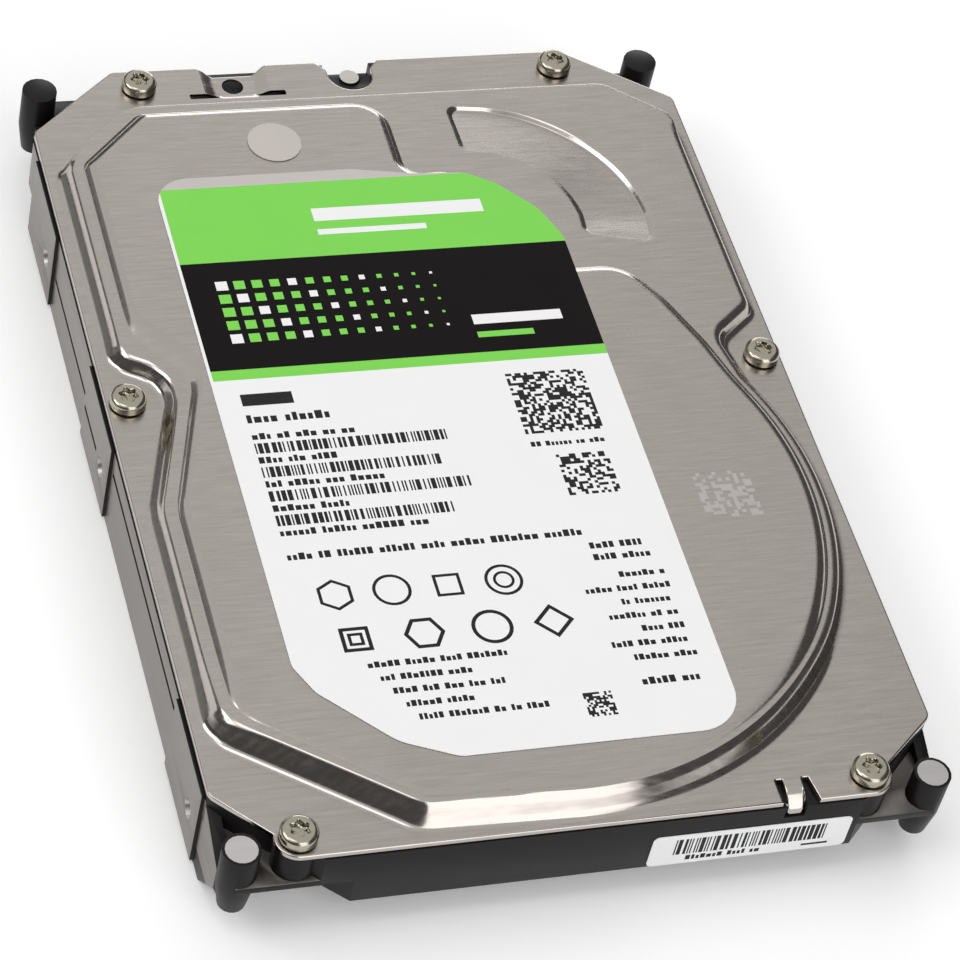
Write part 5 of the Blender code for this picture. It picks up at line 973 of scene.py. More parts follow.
@dataclass
class Casting:
    """Black coated base with milled sides, shelves and post tops."""

    edge: float = 0.12 * MM
    side_x: float = 50.0 * MM
    wall_x: float = 50.3 * MM
    side_end: float = 68.0 * MM
    ear_from: float = -60.8 * MM
    ear_low: float = 3.6 * MM
    shelf_z: float = 10.9 * MM
    post_z: float = 15.9 * MM
    post_at: tuple = (47.85, 70.55)
    post_radius: float = 2.8 * MM
    post_rim: float = 0.42 * MM
    foot_from: float = 9.2 * MM
    foot_share: float = 0.74
    pad_x: float = 50.8 * MM
    groove: float = 0.45 * MM
    grooves: tuple = (
        # First strip, just under the cover's edge: its black coated floor is painted shade of the gap between
        # cover and base.
        (-70.0, 70.0, 14.0, 14.9),
        (15.9, 40.1, 6.4, 7.15),
        (6.4, 14.9, 6.4, 7.15),
        (-43.8, -1.5, 10.0, 10.8),
    )
    notches: tuple = (
        ((-3.3, 70.7, 13.4), (4.1, 76.0, 18.0)),
        ((-22.4, 71.9, 14.6), (-13.6, 76.0, 18.0)),
    )
    holes: tuple = (45.0, 3.4, -56.6)
    hole_z: float = 6.35
    hole_radius: float = 1.75
    hole_end: float = 48.45 * MM

    def build(self) -> bpy.types.Object:
        """Copies the base, merges its faces, cuts its fine forms and rounds its edges.

        Returns:
            The finished piece.
        """
        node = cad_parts["base_casting"]
        piece = bpy.data.objects.new("base_shell", node.data.copy())
        bpy.context.scene.collection.objects.link(piece)
        edit(piece)
        bpy.ops.mesh.select_all(action="SELECT")
        bpy.ops.mesh.remove_doubles(threshold=0.001 * MM)
        bpy.ops.mesh.dissolve_limited(angle_limit=math.radians(0.5))
        self.cut_grooves()
        self.shape_posts()
        done(piece, "base_shell")
        for low, high in self.notches:
            self.cut_notch(piece, Vector(low) * MM, Vector(high) * MM)
        apply_bevel(piece, self.edge, 2, 35)
        return piece

    def cut_grooves(self) -> None:
        """Sinks the grooves into the recessed side walls; the top one, under the cover's edge, is real sunk
        geometry whose black coated floor is painted shade of the gap between cover and base.
        """
        planes = [((0, 0, z * MM), (0, 0, 1)) for groove in self.grooves for z in groove[2:]]
        planes += [((0, y * MM, 0), (0, 1, 0)) for groove in self.grooves[1:] for y in groove[:2]]
        planes.append(((0, 0, self.ear_low), (0, 0, 1)))
        for place, normal in planes:
            pick("FACE", self.on_side)
            bpy.ops.mesh.bisect(plane_co=place, plane_no=normal)
        pick("FACE", self.in_groove)
        sink = {"value": -self.groove}
        bpy.ops.mesh.extrude_region_shrink_fatten(TRANSFORM_OT_shrink_fatten=sink)

    def on_side(self, face: bmesh.types.BMFace) -> bool:
        """Whether a face lies on a recessed side wall, a pad or a near ear."""
        away = abs(face.calc_center_median().x)
        near = min(abs(away - self.wall_x), abs(away - self.pad_x))
        return abs(face.normal.x) > 0.95 and near < 0.1 * MM

    def in_groove(self, face: bmesh.types.BMFace) -> bool:
        """Whether a face lies where a groove is to be sunk."""
        middle = face.calc_center_median() / MM
        if not self.on_side(face) or middle.y * MM < self.ear_from:
            return False
        gap_shade, *lines = self.grooves
        if abs(middle.x * MM) > self.wall_x + 0.1 * MM:
            gap_shade = ()
        chosen = [groove for groove in (gap_shade, *lines) if groove]
        return any(a < middle.y < b and c < middle.z < d for a, b, c, d in chosen)

    def post_axis(self, place: Vector) -> Vector:
        """Axis of the corner post nearest to a place, in plan."""
        x, y = self.post_at
        return Vector((math.copysign(x, place.x), math.copysign(y, place.y))) * MM

    def by_post(self, place: Vector) -> bool:
        """Whether a place lies on a corner post."""
        return (place.xy - self.post_axis(place)).length < self.post_radius

    def shape_posts(self) -> None:
        """Gives the posts a slimmer foot and a rim round the near tops."""
        pick("FACE", lambda f: abs(f.normal.z) < 0.1 and self.by_post(f.calc_center_median()))
        bpy.ops.mesh.bisect(plane_co=(0, 0, self.foot_from), plane_no=(0, 0, 1))
        shape = bmesh.from_edit_mesh(bpy.context.edit_object.data)
        lowest = 4.8 * MM
        for corner in shape.verts:
            if corner.co.z < lowest and self.by_post(corner.co):
                axis = self.post_axis(corner.co)
                corner.co.xy = axis + (corner.co.xy - axis) * self.foot_share
        bmesh.update_edit_mesh(bpy.context.edit_object.data)
        pick("FACE", self.post_top)
        bpy.ops.mesh.inset(thickness=self.post_rim, use_individual=True)

    def post_top(self, face: bmesh.types.BMFace) -> bool:
        """Whether a face is the top of a near post."""
        middle = face.calc_center_median()
        return face.normal.z > 0.9 and abs(middle.z - self.post_z) < 0.1 * MM and middle.y < 0

    @staticmethod
    def cut_notch(piece: bpy.types.Object, low: Vector, high: Vector) -> None:
        """Opens the far wall behind the locating pin or the sunk tab.

        Args:
            piece: The base.
            low: Low corner of the block that is cut away.
            high: Its high corner.
        """
        bpy.ops.mesh.primitive_cube_add(size=1, location=(low + high) / 2)
        block = bpy.context.object
        block.scale = high - low
        done(block, "notch_block")
        piece.select_set(True)
        bpy.context.view_layer.objects.active = piece
        cut = piece.modifiers.new("notch", "BOOLEAN")
        cut.object = block
        cut.operation = "DIFFERENCE"
        bpy.ops.object.modifier_apply(modifier=cut.name)
        bpy.data.objects.remove(block)

    def finish_of(self, face: bpy.types.MeshPolygon) -> int:
        """Material index of a face: coated, milled or faced."""
        x, y, z = face.center
        if face.normal.z > 0.9 and abs(z - self.shelf_z) < 0.1 * MM and y < -0.05:
            return 1
        if face.normal.z > 0.9 and abs(z - self.post_z) < 0.1 * MM and y < 0:
            return 2 if (face.center.xy - self.post_axis(face.center)).length < 1 * MM else 0
        if abs(face.normal.x) < 0.8 and abs(x) > self.hole_end and any(
            math.hypot(y / MM - hole, z / MM - self.hole_z) < self.hole_radius for hole in self.holes
        ):
            return 2
        ear = y < self.ear_from and z < self.ear_low
        # Floors of the sunk strips on the recessed walls lie inside side_x and stay black coat; on the top
        # strip this black is painted shade.
        side = abs(face.normal.x) > 0.9 and abs(x) > self.side_x and abs(y) < self.side_end
        return int(side and not ear)

    def dress(self, piece: bpy.types.Object) -> None:
        """Finishes the coated and the milled faces and rides the base."""
        shade(piece, 35)
        PAINTS.on(piece, COAT, MILLED, FACED)
        for face in piece.data.polygons:
            face.material_index = self.finish_of(face)
        settle(piece, Body.CASE, Slot.COAT, "base_casting")


@dataclass
class CoverScrews:
    """Six pan-head screws with a six-lobed recess."""

    low: float = 16.8 * MM
    top: float = 18.35 * MM
    radius: float = 2.6 * MM
    recess: float = 1.35 * MM
    depth: float = 0.9 * MM
    sides: int = 48
    places: tuple = (
        ("far_left", -33.0, 69.4),
        ("far_right", 33.0, 69.4),
        ("mid_left", -47.4, 6.0),
        ("mid_right", 47.4, 6.0),
        ("near_left", -40.4, -70.0),
        ("near_right", 38.6, -70.0),
    )

    def build(self) -> bpy.types.Object:
        """Models one screw at the origin of the plan.

        Returns:
            The piece, to be copied to its places.
        """
        deselect()
        height = self.top - self.low
        bpy.ops.mesh.primitive_cylinder_add(
            vertices=self.sides, radius=self.radius, depth=height, location=(0, 0, self.low + height / 2)
        )
        piece = done(bpy.context.object, "screw")
        edit(piece)
        pick("FACE", lambda f: f.normal.z > 0.9)
        turns = [math.radians(72) * step / 6 for step in range(7)]
        bpy.ops.transform.translate(value=(0, 0, -0.75 * MM))
        rows = [(0.95 * MM * (1 - math.cos(t)), 0.75 * MM * math.sin(t) / math.sin(turns[-1])) for t in turns]
        inset_rows([(b[0] - a[0], b[1] - a[1]) for a, b in zip(rows, rows[1:])])
        here = self.radius - rows[-1][0]
        inset_rows([(0.1 * MM, 0.0), (here - 0.1 * MM - self.recess - 0.12 * MM, 0.0)])
        self.lobes(piece, self.recess + 0.12 * MM)
        inset_rows([(0.08 * MM, -0.1 * MM), (0.02 * MM, -self.depth + 0.1 * MM), (0.25 * MM, -0.12 * MM)])
        pick("FACE", lambda f: f.normal.z < -0.9)
        bpy.ops.mesh.inset(thickness=self.radius - 1.3 * MM)
        bpy.ops.mesh.extrude_region_move(TRANSFORM_OT_translate={"value": (0, 0, -4.2 * MM)})
        return done(piece, "screw")

    @staticmethod
    def lobes(piece: bpy.types.Object, radius: float) -> None:
        """Draws the selected round face's corners into six lobes."""
        shape = bmesh.from_edit_mesh(piece.data)
        face = next(f for f in shape.faces if f.select)
        for corner in face.verts:
            angle = math.atan2(corner.co.y, corner.co.x)
            reach = radius * (0.87 + 0.13 * math.cos(6 * angle))
            corner.co.x, corner.co.y = reach * math.cos(angle), reach * math.sin(angle)
        bmesh.update_edit_mesh(piece.data)

    def dress(self, piece: bpy.types.Object) -> None:
        """Copies the screw to its six places, each turned a little, and finishes them."""
        shade(piece, 35)
        PAINTS.on(piece, CHROME)
        for index, (name, x, y) in enumerate(self.places):
            copy = bpy.data.objects.new("head_" + name, piece.data.copy())
            turn = Matrix.Rotation(0.37 * index, 4, "Z")
            copy.data.transform(Matrix.Translation((x * MM, y * MM, 0)) @ turn)
            bpy.context.scene.collection.objects.link(copy)
            settle(copy, Body.CASE, Slot.BRIGHT, "cover_screw_" + name)
        bpy.data.objects.remove(piece)


@dataclass
class TopLabel:
    """Printed paper label with a green band, a dark band and a white field."""

    low: float = 20.05 * MM
    high: float = 20.15 * MM
    left: float = -36.1
    right: float = 22.7
    near: float = -62.7
    far: float = 45.9
    green_from: float = 28.5
    dark_from: float = 7.5
    rule_from: float = 5.6
    margin: float = 0.45
    border: float = 2.2

    def outline(self) -> Points:
        """Plan of the label."""
        left, right, near, far = self.left, self.right, self.near, self.far
        corners = [(left, near + 17.2, 3), (left + 2.2, near + 12.6, 4), (left + 11.2, near + 3.4, 8)]
        corners += [(left + 18.8, near, 4), (right, near, 6.5), (right, far - 16.4, 4)]
        corners += [(right - 2.2, far - 10.4, 8), (right - 7.5, far - 4.5, 6)]
        corners += [(right - 11.7, far - 2.0, 4), (right - 19.5, far - 1.6, 4)]
        corners += [(right - 28.5, far, 4), (left, far, 5)]
        return rounded(corners, 10)

    def build(self) -> bpy.types.Object:
        """Models the sheet, cut along the edges of its bands.

        Returns:
            The finished piece.
        """
        piece = empty_piece("label_sheet")
        ring(self.outline(), self.low)
        bpy.ops.mesh.extrude_region_move(
            TRANSFORM_OT_translate={"value": (0, 0, self.high - self.low)}
        )
        bpy.ops.mesh.select_all(action="SELECT")
        bpy.ops.mesh.normals_make_consistent(inside=False)
        cuts = [((0, y * MM, 0), (0, 1, 0)) for y in (self.green_from, self.dark_from, self.rule_from)]
        cuts += [((0, (self.far - self.border) * MM, 0), (0, 1, 0))]
        cuts += [(((self.left + self.margin) * MM, 0, 0), (1, 0, 0))]
        for place, normal in cuts:
            bpy.ops.mesh.select_all(action="SELECT")
            bpy.ops.mesh.bisect(plane_co=place, plane_no=normal)
        return done(piece, "label_sheet")

    def band(self, face: bpy.types.MeshPolygon) -> int:
        """Material index of a face: paper, green, dark or pale film."""
        x, y = face.center.x / MM, face.center.y / MM
        if y > self.far - self.border:
            return 3
        if face.normal.z < 0.9 or x < self.left + self.margin:
            return 0
        if y > self.green_from or self.rule_from < y < self.dark_from:
            return 1
        return 2 if y > self.dark_from else 0

    def dress(self, piece: bpy.types.Object) -> None:
        """Finishes the bands and rides the label."""
        PAINTS.on(piece, PAPER, GREEN_INK, DARK_INK, PALE_FILM)
        for face in piece.data.polygons:
            face.material_index = self.band(face)
        settle(piece, Body.CASE, Slot.PRINT, "top_label")


class Ink(Enum):
    """Inks of the prints, by their place among a print's materials."""

    BLACK = 0
    WHITE = 1
    GREEN = 2


@dataclass
class Print:
    """Plain marks of ink on a label, gathered into one mesh.

    Marks are laid out flat, in millimetres, and the mesh is then put on its label.
    """

    name: str
    seed: int
    low: float = -0.01 * MM
    high: float = 0.012 * MM
    corners: list = field(default_factory=list)
    faces: list = field(default_factory=list)
    inks: list = field(default_factory=list)

    def __post_init__(self) -> None:
        """Starts the fixed row of chance numbers."""
        self.chance = random.Random(self.seed)

    def mark(self, outline: list[tuple[float, float]], ink: Ink = Ink.BLACK) -> None:
        """Adds one thin solid of ink with a convex outline."""
        first, count = len(self.corners), len(outline)
        for height in (self.low, self.high):
            self.corners += [(x * MM, y * MM, height) for x, y in outline]
        self.faces.append([first + index for index in reversed(range(count))])
        self.faces.append([first + count + index for index in range(count)])
        for index in range(count):
            after = (index + 1) % count
            ends = [index, after, count + after, count + index]
            self.faces.append([first + end for end in ends])
        self.inks += [ink.value] * (count + 2)

    def bar(self, x: float, y: float, width: float, height: float, ink: Ink = Ink.BLACK) -> None:
        """Adds a rectangle from its lower left corner."""
        self.mark([(x, y), (x + width, y), (x + width, y + height), (x, y + height)], ink)

    def words(self, x: float, y: float, length: float, height: float, ink: Ink = Ink.BLACK) -> None:
        """Adds a row of small blocks in groups, as a line of fine print looks from afar."""
        end = x + length
        while x < end:
            for _ in range(self.chance.randint(2, 7)):
                width = height * self.chance.choice((0.45, 0.6, 0.7))
                if x + width > end:
                    return
                self.bar(x, y, width, height * self.chance.choice((0.74, 1.0)), ink)
                x += width + 0.22 * height
            x += 0.6 * height

    def stripes(self, x: float, y: float, length: float, height: float, thin: float = 0.22) -> None:
        """Adds a row of upright bars of several widths."""
        end = x + length
        while x < end:
            width = thin * self.chance.choice((1, 1, 2, 3))
            self.bar(x, y, min(width, end - x), height)
            x += width + thin * self.chance.choice((1, 1, 2))

    def cells(self, x: float, y: float, side: float, count: int, ink: Ink = Ink.BLACK) -> None:
        """Adds a square of small cells, about half of them filled by chance."""
        cell = side / count
        for row in range(count):
            run = 0
            for column in range(count + 1):
                if column < count and self.chance.random() < 0.52:
                    run += 1
                elif run:
                    self.bar(x + (column - run) * cell, y + row * cell, run * cell, cell, ink)
                    run = 0

    def frame_of(self, x: float, y: float, size: float, sides: int, line: float, turn: float) -> None:
        """Adds an outlined regular figure.

        Args:
            x: Middle of the figure.
            y: Middle of the figure.
            size: Its outer radius.
            sides: Number of its sides; many give a ring.
            line: Width of its line.
            turn: Angle of its first corner in degrees.
        """
        centre = Vector((x, y))
        outer = arc(centre, size, turn, turn + 360, sides)
        inner = arc(centre, size - line / math.cos(math.pi / sides), turn, turn + 360, sides)
        for index in range(sides):
            quad = [outer[index], outer[index + 1], inner[index + 1], inner[index]]
            self.mark([(point.x, point.y) for point in quad])

    def build(self, place: Matrix, *finishes: "ToolMarked | Skin") -> bpy.types.Object:
        """Makes the mesh and puts it on its label.

        Args:
            place: From the flat layout to the label.
            *finishes: Finishes of the inks, in their order.

        Returns:
            The finished piece.
        """
        mesh = bpy.data.meshes.new(self.name)
        mesh.from_pydata(self.corners, [], self.faces)
        mesh.transform(place)
        piece = bpy.data.objects.new(self.name, mesh)
        bpy.context.scene.collection.objects.link(piece)
        PAINTS.on(piece, *finishes)
        mesh.polygons.foreach_set("material_index", self.inks)
        return piece


@dataclass
class LabelPrint:
    """Print of the top label: plain bars, blocks and figures."""

    height: float = 20.15 * MM

    def build(self) -> bpy.types.Object:
        """Lays out the print and makes its mesh."""
        ink = Print("label_print", 7)
        self.bands(ink)
        ink.bar(-32.5, 0.6, 7.4, 2.2)
        ink.words(-32.5, -2.6, 13.0, 1.5)
        for row, length in enumerate((15.0, 12.0, 17.0, 11.0, 21.0)):
            low = -5.7 - 4.4 * row
            ink.words(-32.5, low, length, 1.15)
            if row < 4:
                ink.stripes(-32.5, low - 2.6, 18.5 + 0.6 * length, 1.9)
        ink.words(-32.5, -27.6, 42.0, 1.2)
        ink.cells(6.4, -8.6, 11.6, 25)
        ink.words(6.6, -11.0, 11.0, 0.9)
        ink.cells(9.6, -20.4, 7.6, 16)
        self.figures(ink)
        for row, length in enumerate((20.0, 13.5, 15.5, 9.5, 18.5)):
            ink.words(-26.0 + 1.2 * row, -47.0 - 2.3 * row, length, 1.0)
        for row, length in enumerate((8.0, 8.5)):
            ink.words(9.8, -30.2 - 2.1 * row, length, 1.1)
        for row, length in enumerate((7.0, 12.5, 8.0, 10.5, 6.5, 11.5, 9.0)):
            ink.words(19.5 - length, -35.6 - 2.4 * row, length, 1.0)
        ink.words(10.4, -54.2, 8.6, 1.2)
        ink.cells(1.6, -58.6, 4.0, 12)
        return ink.build(Matrix.Translation((0, 0, self.height)), INK, PAPER, GREEN_INK)

    @staticmethod
    def bands(ink: Print) -> None:
        """Lays plain bars on the green band and a field of squares on the dark one."""
        ink.bar(-14.0, 35.6, 26.0, 2.6, Ink.WHITE)
        ink.bar(-14.0, 32.8, 16.5, 1.1, Ink.WHITE)
        for column in range(13):
            for row in range(5):
                side = 1.75 - 0.11 * column
                colour = Ink.WHITE if (column + row) % 4 == 0 else Ink.GREEN
                middle = (-30.5 + 2.6 * column, 13.4 + 2.6 * row)
                ink.bar(middle[0] - side / 2, middle[1] - side / 2, side, side, colour)
        ink.bar(4.5, 13.0, 13.5, 1.9, Ink.WHITE)
        ink.bar(4.5, 10.4, 8.5, 1.1, Ink.GREEN)

    @staticmethod
    def figures(ink: Print) -> None:
        """Lays two rows of plain outlined figures."""
        for x, sides, turn in ((-27.5, 6, 30), (-19.6, 28, 0), (-11.7, 4, 45), (-3.8, 28, 0)):
            ink.frame_of(x, -34.2, 2.7, sides, 0.45, turn)
        ink.frame_of(-3.8, -34.2, 1.5, 28, 0.4, 0)
        for x, sides, turn in ((-26.5, 4, 45), (-17.0, 6, 0), (-7.5, 28, 0), (1.2, 4, 0)):
            ink.frame_of(x, -42.0, 2.9, sides, 0.55, turn)
        ink.frame_of(-26.5, -42.0, 1.5, 4, 0.45, 45)

    def dress(self, piece: bpy.types.Object) -> None:
        """Rides the print on the label's body."""
        settle(piece, Body.CASE, Slot.PRINT)


@dataclass
class EndLabel:
    """Small label on the front wall, with its print."""

    back: float = -73.38 * MM
    thick: float = 0.085 * MM
    left: float = 8.0
    right: float = 36.4
    low: float = 5.7
    high: float = 12.1
    corner: float = 0.9

    @property
    def place(self) -> Matrix:
        """From the flat layout to the front wall."""
        upright = Matrix(((1, 0, 0, 0), (0, 0, -1, 0), (0, 1, 0, 0), (0, 0, 0, 1)))
        return Matrix.Translation((0, self.back, 0)) @ upright

    def build(self) -> bpy.types.Object:
        """Models the label."""
        piece = empty_piece("end_label_sheet")
        sides = [(self.left, self.low), (self.right, self.low)]
        sides += [(self.right, self.high), (self.left, self.high)]
        ring(rounded([(x, y, self.corner) for x, y in sides]), 0)
        bpy.ops.mesh.extrude_region_move(TRANSFORM_OT_translate={"value": (0, 0, self.thick)})
        bpy.ops.mesh.select_all(action="SELECT")
        bpy.ops.mesh.normals_make_consistent(inside=False)
        piece = done(piece, "end_label_sheet")
        piece.data.transform(self.place)
        return piece

    def dress(self, piece: bpy.types.Object) -> None:
        """Finishes the label, prints it and rides both."""
        PAINTS.on(piece, PAPER)
        settle(piece, Body.CASE, Slot.PRINT, "end_label")
        ink = Print("end_label_print", 21)
        ink.stripes(self.left + 3.4, self.low + 2.1, 21.6, 3.3, 0.19)
        ink.words(self.left + 5.4, self.low + 0.75, 11.0, 0.95)
        ink.bar(self.left + 22.0, self.low + 0.9, 3.8, 0.4)
        lift = Matrix.Translation((0, 0, self.thick))
        settle(ink.build(self.place @ lift, INK), Body.CASE, Slot.PRINT)


@dataclass
class EtchedMark:
    """Square of light cells etched into the cover beside the label."""

    left: float = 28.2
    near: float = -26.6
    side: float = 8.4
    height: float = 20.0 * MM

    def build(self) -> bpy.types.Object:
        """Lays out the cells and makes their mesh."""
        ink = Print("etched_mark", 5, high=0.006 * MM)
        ink.cells(self.left, self.near, self.side, 14)
        return ink.build(Matrix.Translation((0, 0, self.height)), ETCHED)

    def dress(self, piece: bpy.types.Object) -> None:
        """Rides the mark on the cover's body."""
        settle(piece, Body.CASE, Slot.COVER)


@dataclass
class Contacts:
    """Gold contacts of the connector, gold pins of the header, tracks and pads of the board."""

    tongue_z: float = 4.5 * MM
    board_z: float = 1.6 * MM
    tongues: tuple = ((5.2, 7, 1.05), (19.2, 15, 1.45))
    reach: tuple = (67.0, 72.4)
    contact: float = 0.72
    pins: tuple = (-10.26, -8.11, -5.96, -3.81)
    pin: float = 0.68
    pin_from: float = 70.3
    pin_to: float = 73.42
    pin_low: float = 3.78 * MM
    bundles: tuple = (
        ((3.0, 66.0), (3.0, 57.0), (-4.0, 50.0), (-4.0, 44.0), 7),
        ((20.0, 66.0), (20.0, 60.0), (12.0, 52.0), (12.0, 41.0), 9),
        ((-30.0, 64.0), (-30.0, 50.0), (-24.0, 44.0), (-14.0, 44.0), 6),
        ((30.0, 46.0), (24.0, 40.0), (24.0, 36.0), (10.0, 22.0), 5),
        ((-4.0, 36.0), (-4.0, 27.0), (-2.0, 25.0), (-2.0, 14.0), 8),
    )
    rows: tuple = ((-12.0, 39.5, 10), (-12.0, 47.5, 10), (24.0, 52.0, 8), (24.0, 57.5, 8), (-33.0, 38.0, 6))

    @staticmethod
    def under(height: float) -> Matrix:
        """From a flat layout to a face that looks down at a height."""
        return Matrix.Translation((0, 0, height)) @ Matrix.Rotation(math.pi, 4, "X")

    def build(self) -> bpy.types.Object:
        """Lays out the contacts under both tongues."""
        ink = Print("connector_contacts", 3)
        near, far = self.reach
        for first, count, pitch in self.tongues:
            for index in range(count):
                ink.bar(first + pitch * index, -far, self.contact, far - near)
        return ink.build(self.under(self.tongue_z), GOLD)

    def header_pins(self) -> bpy.types.Object:
        """Sleeves the header's pins in gold."""
        ink = Print("header_pins", 3, low=self.pin_low, high=self.pin_low + self.pin * MM)
        for x in self.pins:
            ink.bar(x, self.pin_from, self.pin, self.pin_to - self.pin_from)
        return ink.build(Matrix(), GOLD)

    def tracks(self) -> bpy.types.Object:
        """Lays bundles of tracks, rows of pads and scattered holes on the board's under face."""
        ink = Print("board_tracks", 11)
        for *turns, count in self.bundles:
            for index in range(count):
                self.track(ink, [(x + 0.75 * index, -y) for x, y in turns], 0.32)
        for x, y, count in self.rows:
            for index in range(count):
                ink.bar(x + 1.27 * index, -y, 0.7, 1.7, Ink.WHITE)
        for _ in range(60):
            x, y = ink.chance.uniform(-36, 36), ink.chance.uniform(30, 69)
            ink.mark([(p.x, p.y) for p in arc(Vector((x, -y)), 0.35, 0, 360, 8)[:-1]], Ink.WHITE)
        return ink.build(self.under(self.board_z), TRACK, GOLD)

    @staticmethod
    def track(ink: Print, turns: list[tuple], width: float) -> None:
        """Lays one track as straight pieces between its turns."""
        for start, end in zip(turns, turns[1:]):
            first, last = Vector(start), Vector(end)
            side = (last - first).orthogonal().normalized() * width / 2
            quad = [first - side, last - side, last + side, first + side]
            ink.mark([(p.x, p.y) for p in quad])

    def dress(self, piece: bpy.types.Object) -> None:
        """Rides the contacts, the pins and the tracks."""
        settle(piece, Body.CASE, Slot.COPPER)
        settle(self.header_pins(), Body.CASE, Slot.COPPER)
        settle(self.tracks(), Body.CASE, Slot.BOARD)


@dataclass
class FlexLoop:
    """Flat cable loop between its bracket and the swinging arm block."""

    pivot: tuple = (12.0, 34.03)

    def build(self) -> bpy.types.Object:
        """Copies the cable and merges its faces.

        Returns:
            The finished piece.
        """
        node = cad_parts["flex_cable"]
        piece = bpy.data.objects.new("flex_loop", node.data.copy())
        piece.data.transform(node.matrix_world)
        bpy.context.scene.collection.objects.link(piece)
        edit(piece)
        bpy.ops.mesh.select_all(action="SELECT")
        bpy.ops.mesh.remove_doubles(threshold=0.001 * MM)
        done(piece, "flex_loop")
        return piece

    def dress(self, piece: bpy.types.Object) -> None:
        """Finishes the loop, hides the CAD cable and puts the loop's place into its mesh.

        Args:
            piece: The finished loop.
        """
        PAINTS.on(piece, FILM)
        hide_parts("flex_cable")
        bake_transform(piece)


NODE_FINISHES: dict[str, ToolMarked | Skin] = {
    "cover_gasket": RUBBER,
    "end_label": PAPER,
    "port_seal": SEAL,
    "rear_locating_pin": PIN_STEEL,
    "pcb": BOARD,
    "pcb_insulator": BARRIER,
    "sata_connector": PLASTIC,
    "service_header": PLASTIC,
    "controller_chip": PLASTIC,
    "memory_chip": PLASTIC,
    "motor_driver_chip": PLASTIC,
    "motor_base": ALLOY,
    "motor_stator": COPPER,
    "lower_magnet": PLATED,
    "upper_magnet": PLATED,
    "crash_stop_inner": RUBBER,
    "crash_stop_outer": RUBBER,
    "load_ramp": PALE,
    "flex_bracket": PLASTIC,
    "flex_cable": FILM,
    "breather_filter": CLOTH,
    "recirculation_filter": CLOTH,
    "spindle_shaft": CHROME,
    "spindle_hub": ALLOY,
    "rotor_magnet": FERRITE,
    "lower_platter": MIRROR,
    "upper_platter": MIRROR,
    "platter_spacer": ALLOY,
    "actuator_block": ALLOY,
    "voice_coil": COPPER,
    "actuator_latch": PLASTIC,
}


def dress_nodes() -> None:
    """Gives every CAD node its finish; plated steel where none is named."""
    for name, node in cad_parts.items():
        PAINTS.on(node, NODE_FINISHES.get(name, PLATED))


# Stage


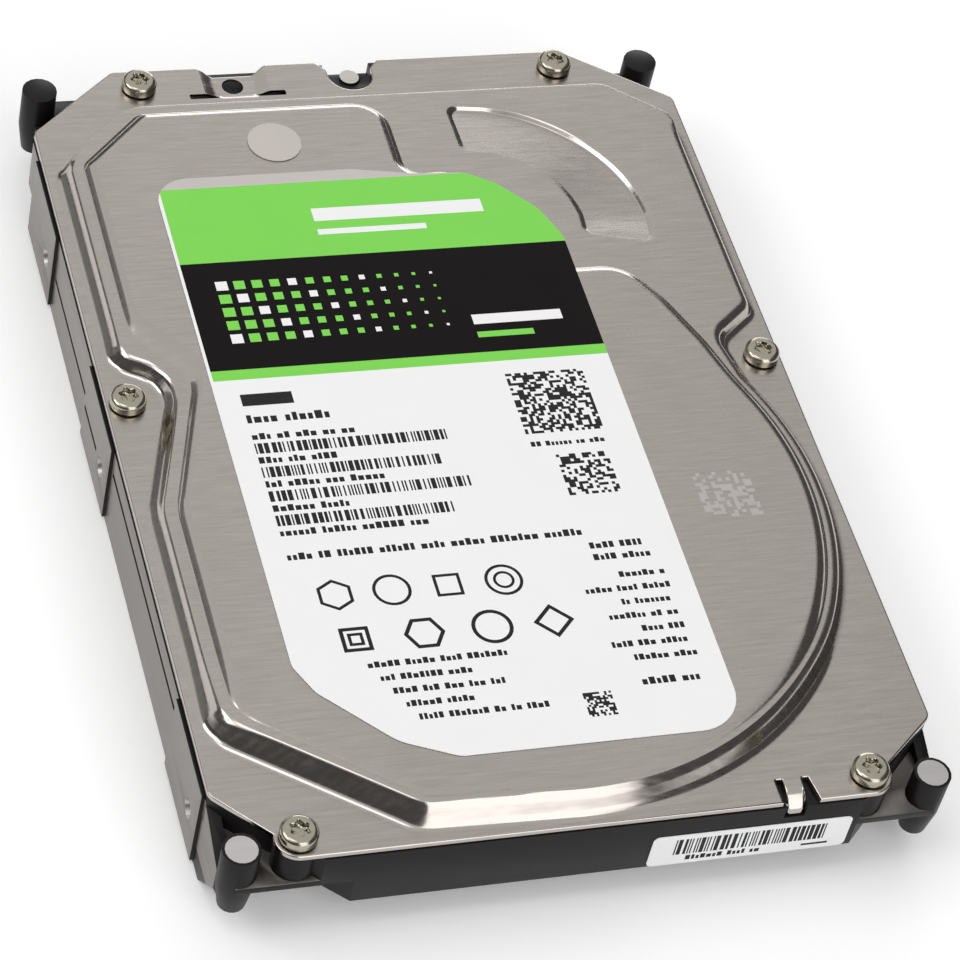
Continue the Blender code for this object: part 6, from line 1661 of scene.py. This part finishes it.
@dataclass
class Studio:
    """Floor, soft lights and the camera at the picture's viewing angle."""

    azimuth: float = -25.65
    elevation: float = 46.90
    roll: float = 14.58
    target: tuple = (1.7, -7.7, 10.0)
    distance: float = 0.5396
    focal_pixels: float = 3796.9
    floor_side: float = 12.0
    paper_lift: float = 0.18
    world: float = 0.1

    def camera(self) -> None:
        """Places the camera."""
        az, el, roll = (math.radians(a) for a in (self.azimuth, self.elevation, self.roll))
        back = Vector((math.sin(az) * math.cos(el), -math.cos(az) * math.cos(el), math.sin(el)))
        right = Vector((0, 0, 1)).cross(back).normalized()
        up = back.cross(right)
        side = math.cos(roll) * right + math.sin(roll) * up
        top = math.cos(roll) * up - math.sin(roll) * right
        lens = bpy.data.cameras.new("camera")
        lens.sensor_width = 36
        lens.lens = self.focal_pixels / PHOTO_SIDE * lens.sensor_width
        lens.clip_start = 0.01
        camera = bpy.data.objects.new("camera", lens)
        place = Matrix((side, top, back)).transposed().to_4x4()
        place.translation = Vector(self.target) * MM + self.distance * back
        camera.matrix_world = place
        bpy.context.scene.collection.objects.link(camera)
        bpy.context.scene.camera = camera

    def floor(self) -> None:
        """Lays the pale floor under the object."""
        deselect()
        bpy.ops.mesh.primitive_plane_add(size=self.floor_side)
        floor = bpy.context.object
        floor.name = "floor"
        floor.data.materials.append(self.floor_paper())

    def floor_paper(self) -> bpy.types.Material:
        """White paper that a direct look, a mirror or a glass sees at full white."""
        material, net, shader = new_material("floor_paper")
        seen = net.add("ShaderNodeLightPath").outputs
        direct = net.math("MAXIMUM", seen["Is Camera Ray"], seen["Is Glossy Ray"])
        direct = net.math("MAXIMUM", direct, seen["Is Transmission Ray"])
        net.link(net.math("MULTIPLY", direct, self.paper_lift), shader.inputs["Emission Strength"])
        shader.inputs["Emission Color"].default_value = (1, 1, 1, 1)
        shader.inputs["Base Color"].default_value = (0.93, 0.93, 0.93, 1)
        shader.inputs["Roughness"].default_value = 0.9
        shader.inputs["Specular IOR Level"].default_value = 0.1
        return material

    def lamp(self, name: str, place: tuple, aim: tuple, size: tuple, radiance: float) -> None:
        """Hangs a soft box.

        Args:
            name: Name of the lamp.
            place: Middle of its face.
            aim: Point that it looks at.
            size: Width and height of its face.
            radiance: Brightness of its face, 1 for white.
        """
        light = bpy.data.lights.new(name, "AREA")
        light.shape = "RECTANGLE"
        light.size, light.size_y = size
        light.energy = radiance * math.pi * size[0] * size[1]
        box = bpy.data.objects.new(name, light)
        box.location = place
        box.rotation_euler = (Vector(aim) - Vector(place)).to_track_quat("-Z", "Y").to_euler()
        bpy.context.scene.collection.objects.link(box)

    def light(self) -> None:
        """Sets the soft boxes and the dim room round them."""
        self.lamp("overhead", (-0.45, 0.9, 1.5), (-0.45, 0.9, 0), (3.1, 4.0), 0.69)
        self.lamp("front", (0.45, -1.5, 1.1), (0.45, 0, 0.7), (1.2, 2.1), 2.2)
        self.lamp("left", (-1.3, 0.2, 1.15), (0, 0.1, 0), (1.1, 0.7), 3.0)
        self.lamp("key", (-0.5, -0.15, 1.45), (0, 0, 0), (0.6, 0.6), 1.9)
        self.lamp("far_strip", (0.8, 2.0, 0.55), (0.4, 0, 0.1), (0.95, 0.9), 3.2)
        self.lamp("far_left", (-1.6, 1.6, 0.7), (0, 0, 0.1), (1.3, 1.0), 0.17)
        world = bpy.data.worlds.new("room")
        world.use_nodes = True
        back = world.node_tree.nodes["Background"]
        back.inputs["Color"].default_value = (1, 1, 1, 1)
        back.inputs["Strength"].default_value = self.world
        bpy.context.scene.world = world
        bpy.context.scene.view_settings.view_transform = "Standard"


def main() -> None:
    """Builds and dresses the sub-assemblies in order, then sets the stage."""
    logging.basicConfig(level=logging.INFO, format="%(name)s %(message)s")
    dress_nodes()
    parts = (PressedCover(), Casting(), CoverScrews(), TopLabel(), LabelPrint(), EndLabel())
    parts += (EtchedMark(), Contacts(), FlexLoop())
    for part in parts:
        part.dress(part.build())
    studio = Studio()
    studio.camera()
    studio.floor()
    studio.light()


if __name__ == "__main__":
    main()
